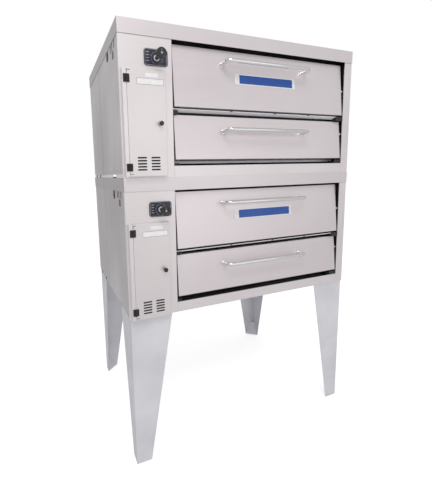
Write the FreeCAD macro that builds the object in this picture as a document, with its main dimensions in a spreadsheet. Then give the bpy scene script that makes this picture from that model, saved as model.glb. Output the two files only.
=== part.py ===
"""Two-deck gas pizza oven on four tapered legs.

Frame: X across the front (left to right), Y from the front to the back, Z up.
The origin is on the floor, midway between the sides and midway between the
front of the thermostat knobs and the end of the gas inlet. Millimetres.
Each deck is drawn from its own base (z = 0) and then lifted into the stack.
"""
import FreeCAD, Part
import Sketcher
import os
import re

SIZES = [
    ("body_width", 1320, "cabinet, side to side"),
    ("body_depth", 900, "cabinet, front to back"),
    ("deck_height", 660, "one deck, base to lid top"),
    ("leg_height", 762, "floor to the base of the lower deck"),
    ("sheet", 2, "thickness of the stainless sheet"),
    ("lid_height", 62, "depth of the lid's flange"),
    ("lid_overhang", 2.5, "how far the lid stands out past the cabinet"),
    ("panel_width", 239, "control panel, left of the doors"),
    ("stile_width", 50, "upright right of the doors"),
    ("rail_height", 50, "rail under the doors"),
    ("jamb_depth", 60, "how far the frame returns into the opening"),
    ("side_base", 16, "underside of the side panels above the deck's base"),
    ("side_flange", 20, "turned-in flange of a side panel"),
    ("cover_sheet", 1.2, "thickness of the screwed cover plates"),
    ("seam", 0.6, "visible joint between two front sheets"),
    ("vent_width", 8, "width of a vent slot in the side"),
    ("high_vent", 567, "bottom of the higher vent slots"),
    ("high_vent_length", 29, "length of those slots"),
    ("high_vent_first", 73, "first higher slot behind the front"),
    ("high_vent_second", 117, "second higher slot behind the front"),
    ("high_vent_third", 152, "third higher slot behind the front"),
    ("low_vent", 529, "bottom of the lower pair of vent slots"),
    ("low_vent_length", 28, "length of that pair"),
    ("low_vent_first", 94, "first slot of the pair behind the front"),
    ("low_vent_second", 112, "second slot of the pair behind the front"),
    ("front_cover_start", 14, "front cover plate behind the front"),
    ("front_cover_end", 150, "end of the front cover plate"),
    ("front_cover_top", 439, "top of the front cover plate"),
    ("middle_cover_start", 151, "middle cover plate behind the front"),
    ("middle_cover_end", 303, "end of the middle cover plate"),
    ("middle_cover_top", 303, "top of the middle cover plate"),
    ("low_cover_bottom", 32, "bottom of both low cover plates"),
    ("rear_cover_start", 693, "rear cover plate behind the front"),
    ("rear_cover_end", 786, "end of the rear cover plate"),
    ("rear_cover_bottom", 454, "bottom of the rear cover plate"),
    ("rear_cover_top", 578, "top of the rear cover plate"),
    ("back_vent_left", -520, "first vent in the back, sideways"),
    ("back_vent_pitch", 300, "spacing of the vents in the back"),
    ("back_vent_length", 140, "length of a vent in the back"),
    ("back_vent_bottom", 200, "lowest vent in the back"),
    ("back_vent_rise", 140, "height of a column of vents"),
    ("foot_pad", 40, "side of a square corner pad under the deck"),
    ("pad_clearance", 4, "corner pad clear of the flanges and frame"),
    ("pad_inset", 10, "corner pad in front of the back"),
    ("window_left", 6, "service window clear of the hinge strip"),
    ("window_right", 13, "service window inside the service door, right"),
    ("window_edge", 25, "service window inside the service door, top and bottom"),
    ("stop_radius", 4, "door stop pin"),
    ("stop_reach", 7, "how far a stop pin stands into the opening"),
    ("stop_back", 14, "stop pins behind the front"),
    ("stop_high", 447, "upper stop pin above the deck's base"),
    ("stop_low", 214, "lower stop pin above the deck's base"),
    ("liner", 8, "thickness of a chamber wall"),
    ("liner_set_back", 16, "front of the ceiling behind the door frame"),
    ("chamber_top", 560, "underside of the chamber's ceiling"),
    ("chamber_back", 392, "front face of the chamber's back wall"),
    ("ledge_width", 30, "ledge that carries the stones"),
    ("stone_bottom", 308, "underside of the baking stones"),
    ("stone_thickness", 38, "thickness of the baking stones"),
    ("stone_gap", 1, "joint between stones and round them"),
    ("sill_depth", 12, "depth of a sill bar"),
    ("upper_sill", 289, "bottom of the sill between the doors"),
    ("upper_sill_height", 15, "height of that sill"),
    ("lower_sill", 61, "bottom of the sill under the burner door"),
    ("lower_sill_height", 12, "height of that sill"),
    ("flue_width", 220, "flue collar, across"),
    ("flue_height", 90, "flue collar, tall"),
    ("flue_bottom", 466, "underside of the flue collar"),
    ("flue_reach", 46, "how far the collar stands out of the back"),
    ("burner_radius", 19, "burner pipe"),
    ("burner_height", 110, "burner centreline above the deck's base"),
    ("burner_pitch", 200, "spacing of the burners"),
    ("burner_end", 580, "capped end of the burners"),
    ("burner_mouth", -455, "open end of the burners"),
    ("flare_radius", 27, "flared air inlet of a burner"),
    ("flare_length", 30, "length of that flare"),
    ("pipe_radius", 13.35, "gas pipe, three quarter inch"),
    ("pipe_across", -470, "gas manifold, sideways"),
    ("pipe_reach", 525, "end of the gas inlet behind the oven"),
    ("manifold_radius", 12, "manifold and risers"),
    ("inlet_length", 70, "gas inlet nipple behind the back panel"),
    ("elbow", 34, "side of a square pipe elbow"),
    ("riser_back", -365, "riser from the manifold, front to back"),
    ("valve_height", 250, "gas valve's centre above the deck's base"),
    ("valve_across", -560, "gas valve's centre, sideways"),
    ("valve_front", -400, "front face of the gas valve"),
    ("valve_width", 80, "gas valve's body, across"),
    ("valve_body", 70, "gas valve's body, front to back and tall"),
    ("valve_disc", 18, "radius of the gas valve's knob"),
    ("valve_disc_depth", 14, "thickness of that knob's disc"),
    ("valve_grip", 28, "front of that knob's grip in front of the valve"),
    ("valve_grip_width", 8, "width of that grip"),
    ("orifice_radius", 6, "burner orifice"),
    ("orifice_length", 28, "how far an orifice reaches from the manifold"),
    ("feed_radius", 5, "gas line from the valve to the thermostat"),
    ("thermostat_left", 53, "thermostat body left of its shaft"),
    ("thermostat_right", 38, "thermostat body right of its shaft, above and below"),
    ("thermostat_front", 4, "thermostat body behind the front"),
    ("thermostat_back", 64, "back of the thermostat body behind the front"),
    ("shaft_radius", 4, "shaft of a control knob"),
    ("shaft_room", 2, "room round a shaft in the sheet"),
    ("shaft_depth", 26, "how far the thermostat's shaft reaches behind the front"),
    ("shaft_clearance", 0.05, "running clearance of a shaft or pin"),
    ("dial_across", -492, "thermostat's centre, sideways"),
    ("dial_height", 512, "thermostat's centre above the deck's base"),
    ("dial_plate_left", -549, "left edge of the dial plate"),
    ("dial_plate_right", -441, "right edge of the dial plate"),
    ("dial_plate_bottom", 479, "lower edge of the dial plate"),
    ("dial_plate_top", 549, "upper edge of the dial plate"),
    ("dial_plate_sheet", 3, "thickness of the dial plate"),
    ("knob_radius", 23, "thermostat knob"),
    ("knob_back", 39, "back of the thermostat knob in front of the panel"),
    ("knob_reach", 75, "front of the thermostat knob in front of the panel"),
    ("door_left", -413, "left edge of the doors"),
    ("door_right", 601, "right edge of the doors"),
    ("door_thickness", 42, "front to back"),
    ("door_tilt", 5, "lean of a closed door, degrees"),
    ("door_proud", 2, "how far a door's bottom edge stands out of the front"),
    ("baking_door_bottom", 315, "bottom edge above the deck's base"),
    ("baking_door_height", 274, "along the door"),
    ("burner_door_bottom", 78.5, "bottom edge above the deck's base"),
    ("burner_door_height", 204, "along the door"),
    ("hinge_back", 18, "hinge axis behind a door's face"),
    ("hinge_up", 12, "hinge axis above a door's bottom edge"),
    ("pin_radius", 5, "door hinge pin"),
    ("pin_depth", 20, "how far a pin reaches into the door"),
    ("bracket_sheet", 4, "thickness of a hinge bracket"),
    ("bracket_front", 13, "bracket in front of the hinge axis"),
    ("bracket_back", 22, "bracket behind the hinge axis"),
    ("bracket_up", 16, "bracket above the hinge axis"),
    ("bracket_right", 54, "width of a right bracket's foot under the door"),
    ("bracket_left", 26, "width of a left bracket's foot under the door"),
    ("bracket_foot_top", 16, "top of the foot below the door's bottom edge"),
    ("upper_foot", 15, "height of the foot under the baking door"),
    ("lower_foot", 12, "height of the foot under the burner door"),
    ("handle_radius", 9.5, "handle bar"),
    ("handle_left", -158, "left post of a handle"),
    ("handle_right", 330, "right post of a handle"),
    ("handle_reach", 55, "centre of the bar in front of the door"),
    ("handle_bend", 24, "bend radius of the bar"),
    ("handle_boss", 14, "radius of the boss under a post"),
    ("baking_handle_up", 208, "bar above the baking door's bottom edge"),
    ("burner_handle_up", 133, "bar above the burner door's bottom edge"),
    ("plate_left", -93, "left edge of the blank nameplate"),
    ("plate_right", 269, "right edge of the blank nameplate"),
    ("plate_bottom", 125, "above the baking door's bottom edge"),
    ("plate_height", 42, "height of the nameplate"),
    ("plate_sheet", 2, "thickness of the nameplate"),
    ("lining_inset", 12, "door lining inside the door's edge"),
    ("lining_bottom", 26, "bottom of the door lining"),
    ("lining_depth", 4, "how far the lining stands behind the door"),
    ("access_left", -635.5, "left edge of the service door"),
    ("access_right", -462, "right edge of the service door"),
    ("access_bottom", 5, "lower edge of the service door"),
    ("access_top", 456, "upper edge of the service door"),
    ("access_reach", 25, "front of the service door in front of the panel"),
    ("access_gap", 0.6, "gap between the service door and the panel"),
    ("strip_left", -653, "left edge of the fixed hinge strip"),
    ("strip_right", -636.2, "right edge of the fixed hinge strip"),
    ("louver_height", 5, "height of a louver slot"),
    ("louver_width", 40, "width of a louver slot"),
    ("louver_pitch", 13, "spacing of the louver slots"),
    ("louver_bottom", 32, "lowest louver above the deck's base"),
    ("louver_first", -599, "left edge of the first louver column"),
    ("louver_second", -537, "left edge of the second louver column"),
    ("knuckle_radius", 3.5, "barrel of the service hinge"),
    ("knuckle_pin", 2, "pin of the service hinge"),
    ("knuckle_across", -635.85, "service hinge axis, sideways"),
    ("knuckle_front", 29, "service hinge axis in front of the panel"),
    ("leaf_height", 33, "height of a service hinge"),
    ("leaf_width", 13, "width of one hinge leaf"),
    ("leaf_sheet", 3, "thickness of a hinge leaf"),
    ("leaf_relief", 0.4, "room round a knuckle in the other leaf"),
    ("leaf_trim", 0.2, "end play of the middle knuckle"),
    ("leaf_low", 45, "centre of the lower service hinge"),
    ("leaf_high", 414, "centre of the upper service hinge"),
    ("latch_across", -490, "pull knob, sideways"),
    ("latch_height", 233, "pull knob above the deck's base"),
    ("leg_inset", 4, "legs inside the cabinet's sides"),
    ("leg_sheet", 3, "thickness of a leg"),
    ("leg_top", 208, "width of a leg's flange at the top"),
    ("leg_front_foot", 77, "width of the front flange at the floor"),
    ("leg_side_foot", 66, "width of the side flange at the floor"),
    ("gusset_height", 100, "top of the gusset that closes the foot"),
    ("gusset_top", 22, "width of the gusset at its top"),
]

doc = FreeCAD.newDocument("DeckOven")
sheet = doc.addObject("Spreadsheet::Sheet", "Sizes")
for row, (alias, number, note) in enumerate(SIZES, 1):
    sheet.set("A%d" % row, note)
    sheet.set("B%d" % row, str(number))
    sheet.setAlias("B%d" % row, alias)
doc.recompute()

LEFT = "-body_width / 2"
RIGHT = "body_width / 2"
FRONT = "-body_depth / 2"
BACK = "body_depth / 2"
OPENING_LEFT = "-body_width / 2 + panel_width"
OPENING_RIGHT = "body_width / 2 - stile_width"
JAMB_END = "-body_depth / 2 + jamb_depth"
LID_BOTTOM = "deck_height - lid_height"
UNDER_LID = "deck_height - sheet"
DECKS = {"lower": "leg_height", "upper": "leg_height + deck_height"}
PLANES = {"XY_Plane": "", "XZ_Plane": "-1 * ", "YZ_Plane": ""}
UP = FreeCAD.Vector(0, 0, 1)
ALONG_X = FreeCAD.Rotation(FreeCAD.Vector(0, 1, 0), 90)
ALONG_Y = FreeCAD.Rotation(FreeCAD.Vector(1, 0, 0), -90)
nodes = []


# ---------------------------------------------------------------- helpers

def cells(text):
    """Turn the sheet's names in a formula into references to its cells."""
    return re.sub(r"[a-z]\w*", lambda word: "Sizes." + word.group(), text)


def bind(thing, item, formula):
    """Bind one property or constraint of an object to a formula."""
    thing.setExpression(item, cells(formula))


def number(formula):
    """The value of a formula at the sheet's present sizes."""
    return float(sheet.evalExpression(cells(formula)))


def place(thing, across, back, up):
    """Put an object's origin at a point given as three formulas."""
    bind(thing, ".Placement.Base.x", across)
    bind(thing, ".Placement.Base.y", back)
    bind(thing, ".Placement.Base.z", up)


def node(thing, name, deck=None):
    """Name a finished sub-part, and lift it to its deck's base."""
    thing.Label = name
    if deck:
        place(thing, "0", "0", DECKS[deck])
    nodes.append(thing)
    return thing


def block(name, x0, x1, y0, y1, z0, z1):
    """A box between two corners."""
    solid = doc.addObject("Part::Box", name)
    bind(solid, "Length", "(%s) - (%s)" % (x1, x0))
    bind(solid, "Width", "(%s) - (%s)" % (y1, y0))
    bind(solid, "Height", "(%s) - (%s)" % (z1, z0))
    place(solid, x0, y0, z0)
    return solid


def rod(name, radius, length, across, back, up, turn=None):
    """A cylinder that starts at a point and runs along +Z, or as turned."""
    solid = doc.addObject("Part::Cylinder", name)
    bind(solid, "Radius", radius)
    bind(solid, "Height", length)
    if turn:
        solid.Placement = FreeCAD.Placement(FreeCAD.Vector(), turn)
    place(solid, across, back, up)
    return solid


def cut(name, base, tools):
    """Take one or more tools away from a solid."""
    result = doc.addObject("Part::Cut", name)
    result.Base = base
    result.Tool = tools[0] if len(tools) == 1 else fuse(name + "_tools", tools)
    return result


def fuse(name, pieces):
    """Join solids into one."""
    result = doc.addObject("Part::MultiFuse", name)
    result.Shapes = pieces
    result.Refine = True
    return result


def group(name, pieces):
    """Keep separate solids together as one sub-part."""
    result = doc.addObject("Part::Compound", name)
    result.Links = pieces
    return result


def sketch(body, name, plane, offset):
    """A sketch on one of a body's own planes, moved out to a position."""
    drawing = body.newObject("Sketcher::SketchObject", name)
    support = [item for item in body.Origin.OriginFeatures if item.Role == plane][0]
    drawing.AttachmentSupport = [(support, "")]
    drawing.MapMode = "FlatFace"
    bind(drawing, ".AttachmentOffset.Base.z", "%s(%s)" % (PLANES[plane], offset))
    return drawing


def pin_point(drawing, line, end, across, up):
    """Hold one end of a line at a point given as two formulas."""
    first = drawing.addConstraint(Sketcher.Constraint("DistanceX", -1, 1, line, end, number(across)))
    bind(drawing, "Constraints[%d]" % first, across)
    second = drawing.addConstraint(Sketcher.Constraint("DistanceY", -1, 1, line, end, number(up)))
    bind(drawing, "Constraints[%d]" % second, up)


def polygon(drawing, points):
    """A closed outline through points given as pairs of formulas."""
    corners = [FreeCAD.Vector(number(across), number(up), 0) for across, up in points]
    lines = []
    for start, end in zip(corners, corners[1:] + corners[:1]):
        lines.append(drawing.addGeometry(Part.LineSegment(start, end)))
    for line, following in zip(lines, lines[1:] + lines[:1]):
        drawing.addConstraint(Sketcher.Constraint("Coincident", line, 2, following, 1))
    for line, (across, up) in zip(lines, points):
        pin_point(drawing, line, 1, across, up)


def rectangle(drawing, x0, y0, x1, y1):
    """A rectangle between two corners."""
    polygon(drawing, [(x0, y0), (x1, y0), (x1, y1), (x0, y1)])


def circle(drawing, across, up, radius):
    """A circle at a point."""
    centre = FreeCAD.Vector(number(across), number(up), 0)
    ring = drawing.addGeometry(Part.Circle(centre, UP, number(radius)))
    pin_point(drawing, ring, 3, across, up)
    size = drawing.addConstraint(Sketcher.Constraint("Radius", ring, number(radius)))
    bind(drawing, "Constraints[%d]" % size, radius)


def pad(body, name, drawing, length, reverse=False):
    """Thicken a sketch along its normal, or against it."""
    feature = body.newObject("PartDesign::Pad", name)
    feature.Profile = drawing
    feature.Reversed = reverse
    bind(feature, "Length", length)
    return feature


def pocket(body, name, drawing, length, reverse=False):
    """Cut a sketch against its normal, or along it."""
    feature = body.newObject("PartDesign::Pocket", name)
    feature.Profile = drawing
    feature.Reversed = reverse
    bind(feature, "Length", length)
    return feature


def revolve(body, name, drawing, axis):
    """Turn a half profile all the way round an axis of its sketch."""
    feature = body.newObject("PartDesign::Revolution", name)
    feature.Profile = drawing
    feature.ReferenceAxis = (drawing, [axis])
    feature.Angle = 360
    return feature


def round_edges(body, name, base, radius, test):
    """Fillet the edges of a feature that pass a test."""
    doc.recompute()
    picked = []
    for index, edge in enumerate(base.Shape.Edges, 1):
        if test(edge):
            picked.append("Edge%d" % index)
    feature = body.newObject("PartDesign::Fillet", name)
    feature.Base = (base, picked)
    bind(feature, "Radius", radius)
    return feature


def is_upright(edge):
    """True for a straight edge that runs along Z."""
    ends = [vertex.Point for vertex in edge.Vertexes]
    return len(ends) == 2 and (ends[0] - ends[1]).cross(UP).Length < 1e-6


def is_deep(edge):
    """True for a straight edge that runs along Y."""
    ends = [vertex.Point for vertex in edge.Vertexes]
    return len(ends) == 2 and (ends[0] - ends[1]).cross(FreeCAD.Vector(0, 1, 0)).Length < 1e-6


# ---------------------------------------------------------------- cabinet

def lid(deck):
    """Stainless lid: a shallow tray turned over the top of the deck."""
    name = deck + "_lid"
    shell = doc.addObject("PartDesign::Body", name)
    outline = sketch(shell, name + "_outline", "XY_Plane", LID_BOTTOM)
    rectangle(outline, LEFT + " - lid_overhang", FRONT + " - lid_overhang",
              RIGHT + " + lid_overhang", BACK + " + lid_overhang")
    slab = pad(shell, name + "_slab", outline, "lid_height")
    bends = round_edges(shell, name + "_bends", slab, "lid_overhang", is_upright)
    inside = sketch(shell, name + "_inside", "XY_Plane", LID_BOTTOM)
    gap = "(lid_overhang - sheet)"
    rectangle(inside, LEFT + " - " + gap, FRONT + " - " + gap,
              RIGHT + " + " + gap, BACK + " + " + gap)
    hollow = pocket(shell, name + "_hollow", inside, "lid_height - sheet", True)
    shell.Tip = hollow
    return node(shell, name, deck)


def side_panel(deck, side):
    """Side of the cabinet: a folded channel with its flanges turned in."""
    name = "%s_%s_side_panel" % (deck, side)
    way = "-1 * " if side == "left" else ""
    panel = doc.addObject("PartDesign::Body", name)
    outer = way + "(body_width / 2)"
    inner = way + "(body_width / 2 - sheet)"
    lip = way + "(body_width / 2 - side_flange)"
    profile = sketch(panel, name + "_profile", "XZ_Plane", BACK + " - sheet")
    polygon(profile, [
        (outer, "side_base"), (lip, "side_base"), (lip, "side_base + sheet"),
        (inner, "side_base + sheet"), (inner, UNDER_LID + " - sheet"),
        (lip, UNDER_LID + " - sheet"), (lip, UNDER_LID), (outer, UNDER_LID)])
    channel = pad(panel, name + "_channel", profile, "body_depth - 2 * sheet")
    vents = sketch(panel, name + "_vents", "YZ_Plane", way + "(body_width / 2)")
    for row, columns in (("high", ("first", "second", "third")), ("low", ("first", "second"))):
        low = row + "_vent"
        for column in columns:
            start = "%s + %s_%s" % (FRONT, low, column)
            rectangle(vents, start, low, start + " + vent_width", "%s + %s_length" % (low, low))
    opened = pocket(panel, name + "_opened", vents, "2 * sheet", side == "left")
    covers = sketch(panel, name + "_covers", "YZ_Plane", way + "(body_width / 2)")
    plates = [("rear", "rear_cover_bottom")]
    if side == "left":
        plates += [("front", "low_cover_bottom"), ("middle", "low_cover_bottom")]
    for cover, low in plates:
        rectangle(covers, "%s + %s_cover_start" % (FRONT, cover), low,
                  "%s + %s_cover_end" % (FRONT, cover), cover + "_cover_top")
    covered = pad(panel, name + "_covered", covers, "cover_sheet", side == "left")
    panel.Tip = covered
    return node(panel, name, deck)


def back_panel(deck):
    """Back of the cabinet, with the flue collar, vents and gas inlet hole."""
    name = deck + "_back_panel"
    panel = doc.addObject("PartDesign::Body", name)
    outline = sketch(panel, name + "_outline", "XZ_Plane", BACK)
    rectangle(outline, LEFT, "side_base", RIGHT, UNDER_LID)
    circle(outline, "pipe_across", "burner_height", "pipe_radius + 3 * shaft_room")
    plate = pad(panel, name + "_plate", outline, "sheet")
    collar = sketch(panel, name + "_collar", "XZ_Plane", BACK)
    rectangle(collar, "-flue_width / 2", "flue_bottom", "flue_width / 2", "flue_bottom + flue_height")
    outlet = pad(panel, name + "_outlet", collar, "flue_reach", True)
    throat = sketch(panel, name + "_throat", "XZ_Plane", BACK + " - 2 * sheet")
    rectangle(throat, "-flue_width / 2 + sheet", "flue_bottom + sheet",
              "flue_width / 2 - sheet", "flue_bottom + flue_height - sheet")
    bored = pocket(panel, name + "_bored", throat, "flue_reach + 4 * sheet")
    vents = sketch(panel, name + "_vents", "XZ_Plane", BACK + " - 2 * sheet")
    for column in range(4):
        left = "back_vent_left + %d * back_vent_pitch" % column
        rectangle(vents, left, "back_vent_bottom", left + " + back_vent_length",
                  "back_vent_bottom + vent_width")
    first = pocket(panel, name + "_first", vents, "4 * sheet")
    rows = panel.newObject("PartDesign::LinearPattern", name + "_rows")
    rows.Originals = [first]
    rows.Direction = (vents, ["V_Axis"])
    bind(rows, "Length", "back_vent_rise")
    rows.Occurrences = 6
    panel.Tip = rows
    return node(panel, name, deck)


def bottom_pan(deck):
    """Floor of the deck, standing on four square corner pads."""
    name = deck + "_bottom_pan"
    floor = "side_base + sheet"
    pieces = [block(name + "_floor", LEFT + " + sheet", RIGHT + " - sheet",
                    JAMB_END, BACK + " - sheet", floor, floor + " + sheet")]
    reach = "side_flange + pad_clearance"
    for x0, x1 in ((LEFT + " + " + reach, LEFT + " + %s + foot_pad" % reach),
                   (RIGHT + " - %s - foot_pad" % reach, RIGHT + " - (%s)" % reach)):
        for y0, y1 in ((JAMB_END + " + pad_clearance", JAMB_END + " + pad_clearance + foot_pad"),
                       (BACK + " - pad_inset - foot_pad", BACK + " - pad_inset")):
            pieces.append(block("%s_pad%d" % (name, len(pieces)), x0, x1, y0, y1, "0", floor))
    return node(fuse(name, pieces), name, deck)


# ---------------------------------------------------------------- front frame

def control_panel(deck):
    """Panel left of the doors: jamb return, service window and hinge strip."""
    name = deck + "_control_panel"
    panel = doc.addObject("PartDesign::Body", name)
    face = sketch(panel, name + "_face", "XZ_Plane", FRONT + " + sheet")
    rectangle(face, LEFT, "0", OPENING_LEFT, LID_BOTTOM + " - seam")
    rectangle(face, "strip_right + window_left", "access_bottom + window_edge",
              "access_right - window_right", "access_top - window_edge")
    circle(face, "dial_across", "dial_height", "shaft_radius + shaft_room")
    pad(panel, name + "_plate", face, "sheet")
    jamb = sketch(panel, name + "_jamb", "XY_Plane", "rail_height")
    rectangle(jamb, OPENING_LEFT + " - sheet", FRONT, OPENING_LEFT, JAMB_END)
    pad(panel, name + "_return", jamb, LID_BOTTOM + " - seam - rail_height")
    strip = sketch(panel, name + "_strip", "XZ_Plane", FRONT)
    rectangle(strip, "strip_left", "access_bottom", "strip_right", "access_top")
    pad(panel, name + "_raised", strip, "access_reach")
    hollow = sketch(panel, name + "_hollow", "XZ_Plane", FRONT + " + sheet")
    rectangle(hollow, "strip_left + sheet", "access_bottom + sheet",
              "strip_right - sheet", "access_top - sheet")
    pocket(panel, name + "_channel", hollow, "access_reach", True)
    return node(panel, name, deck)


def right_stile(deck):
    """Upright right of the doors, folded into the opening, with two stop pins."""
    name = deck + "_right_stile"
    stile = doc.addObject("PartDesign::Body", name)
    face = sketch(stile, name + "_face", "XZ_Plane", FRONT + " + sheet")
    rectangle(face, OPENING_RIGHT, "0", RIGHT, LID_BOTTOM + " - seam")
    pad(stile, name + "_plate", face, "sheet")
    jamb = sketch(stile, name + "_jamb", "XY_Plane", "rail_height")
    rectangle(jamb, OPENING_RIGHT, FRONT, OPENING_RIGHT + " + sheet", JAMB_END)
    pad(stile, name + "_return", jamb, LID_BOTTOM + " - seam - rail_height")
    stops = sketch(stile, name + "_stops", "YZ_Plane", OPENING_RIGHT)
    for height in ("stop_high", "stop_low"):
        circle(stops, FRONT + " + stop_back", height, "stop_radius")
    pad(stile, name + "_pins", stops, "stop_reach", True)
    return node(stile, name, deck)


def bottom_rail(deck):
    """Rail under the doors, folded back as the floor of the opening."""
    name = deck + "_bottom_rail"
    rail = doc.addObject("PartDesign::Body", name)
    profile = sketch(rail, name + "_profile", "YZ_Plane", OPENING_LEFT + " + seam")
    polygon(profile, [
        (FRONT, "0"), (FRONT + " + sheet", "0"), (FRONT + " + sheet", "rail_height - sheet"),
        (JAMB_END, "rail_height - sheet"), (JAMB_END, "rail_height"), (FRONT, "rail_height")])
    pad(rail, name + "_folded", profile, "body_width - panel_width - stile_width - 2 * seam")
    return node(rail, name, deck)


def door_sills(deck):
    """Two bars across the opening that the doors close over."""
    name = deck + "_door_sills"
    ends = (OPENING_LEFT + " - sheet + liner", OPENING_RIGHT + " + sheet - liner")
    depth = (JAMB_END, JAMB_END + " + sill_depth")
    centre = block(name + "_centre", *ends, *depth, "upper_sill", "upper_sill + upper_sill_height")
    bottom = block(name + "_bottom", *ends, *depth, "lower_sill", "lower_sill + lower_sill_height")
    return node(group(name, [centre, bottom]), name, deck)


def hinge_brackets(deck):
    """Black brackets in the bottom corners, each with a foot and a pin for a door."""
    name = deck + "_hinge_brackets"
    sides = (
        ("left", OPENING_LEFT, OPENING_LEFT + " + bracket_sheet", OPENING_LEFT,
         OPENING_LEFT + " + bracket_left", OPENING_LEFT, "door_left + pin_depth"),
        ("right", OPENING_RIGHT + " - bracket_sheet", OPENING_RIGHT,
         OPENING_RIGHT + " - bracket_right", OPENING_RIGHT, "door_right - pin_depth", OPENING_RIGHT))
    pieces = []
    for kind, foot_height in (("baking", "upper_foot"), ("burner", "lower_foot")):
        bottom = kind + "_door_bottom"
        back, up = hinge_axis(bottom)
        depth = (back + " - bracket_front", back + " + bracket_back")
        top = bottom + " - bracket_foot_top"
        low = "%s - %s" % (top, foot_height)
        for side, x0, x1, foot0, foot1, start, end in sides:
            label = "%s_%s_%s" % (name, kind, side)
            pieces.append(fuse(label, [
                block(label + "_plate", x0, x1, *depth, low, up + " + bracket_up"),
                block(label + "_foot", foot0, foot1, *depth, low, top),
                rod(label + "_pin", "pin_radius", "(%s) - (%s)" % (end, start), start, back, up, ALONG_X)]))
    return node(group(name, pieces), name, deck)


# ---------------------------------------------------------------- oven inside

def chamber_liner(deck):
    """Walls of the baking chamber and burner compartment, with the flue duct."""
    name = deck + "_chamber_liner"
    left = OPENING_LEFT + " - sheet"
    right = OPENING_RIGHT + " + sheet"
    inner_left = left + " + liner"
    inner_right = right + " - liner"
    back = "chamber_back + liner"
    top = "chamber_top + liner"
    front = JAMB_END + " + liner_set_back"
    left_wall = block(name + "_left_wall", left, inner_left, JAMB_END, back, "rail_height", top)
    holes = []
    for index in (-1, 0, 1):
        holes.append(rod("%s_hole%d" % (name, index + 1), "burner_radius + 5", "3 * liner",
                         left + " - liner", "%d * burner_pitch" % index, "burner_height", ALONG_X))
    back_wall = block(name + "_back_wall", inner_left, inner_right, "chamber_back", back,
                      "rail_height", "chamber_top")
    duct = block(name + "_duct_box", "-flue_width / 2", "flue_width / 2", back, BACK + " - sheet",
                 "flue_bottom", "flue_bottom + flue_height")
    throat = ["-flue_width / 2 + sheet", "flue_width / 2 - sheet", "chamber_back - liner", BACK,
              "flue_bottom + sheet", "flue_bottom + flue_height - sheet"]
    walls = [
        cut(name + "_left", left_wall, holes),
        block(name + "_right", inner_right, right, JAMB_END, back, "rail_height", top),
        block(name + "_ceiling", inner_left, inner_right, front, back, "chamber_top", top),
        block(name + "_floor", inner_left, inner_right, JAMB_END, "chamber_back",
              "rail_height", "rail_height + sheet"),
        cut(name + "_back", back_wall, [block(name + "_back_throat", *throat)]),
        cut(name + "_duct", duct, [block(name + "_duct_throat", *throat)]),
    ]
    ledge = ["stone_bottom - liner", "stone_bottom"]
    depth = [JAMB_END + " + sill_depth", "chamber_back"]
    walls.append(block(name + "_left_ledge", inner_left, inner_left + " + ledge_width", *depth, *ledge))
    walls.append(block(name + "_right_ledge", inner_right + " - ledge_width", inner_right, *depth, *ledge))
    return node(group(name, walls), name, deck)


def hearth_deck(deck):
    """Two baking stones side by side on the ledges."""
    name = deck + "_hearth_deck"
    left = OPENING_LEFT + " - sheet + liner + stone_gap"
    right = OPENING_RIGHT + " + sheet - liner - stone_gap"
    middle = "(door_left + door_right) / 2"
    depth = (JAMB_END + " + sill_depth + stone_gap", "chamber_back - stone_gap")
    height = ("stone_bottom", "stone_bottom + stone_thickness")
    stones = [
        block(name + "_left", left, middle + " - stone_gap / 2", *depth, *height),
        block(name + "_right", middle + " + stone_gap / 2", right, *depth, *height),
    ]
    return node(group(name, stones), name, deck)


def burners(deck):
    """Three pipe burners, each a capped tube with a flared air inlet."""
    name = deck + "_burners"
    pipes = []
    for index in (-1, 0, 1):
        pipe = doc.addObject("PartDesign::Body", "%s_pipe%d" % (name, index + 1))
        profile = sketch(pipe, pipe.Name + "_profile", "XZ_Plane", "0")
        polygon(profile, [
            ("burner_mouth", "flare_radius - 3"), ("burner_mouth", "flare_radius"),
            ("burner_mouth + flare_length", "burner_radius"), ("burner_end", "burner_radius"),
            ("burner_end", "0"),
            ("burner_mouth + flare_length", "0"),
            ("burner_mouth + flare_length", "burner_radius - 3")])
        revolve(pipe, pipe.Name + "_turned", profile, "H_Axis")
        place(pipe, "0", "%d * burner_pitch" % index, "burner_height")
        pipes.append(pipe)
    return node(group(name, pipes), name, deck)


def elbow(name, up):
    """Square malleable elbow where the riser turns."""
    half = "elbow / 2"
    return block(name, "pipe_across - " + half, "pipe_across + " + half, "riser_back - " + half,
                 "riser_back + " + half, "%s - %s" % (up, half), "%s + %s" % (up, half))


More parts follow.
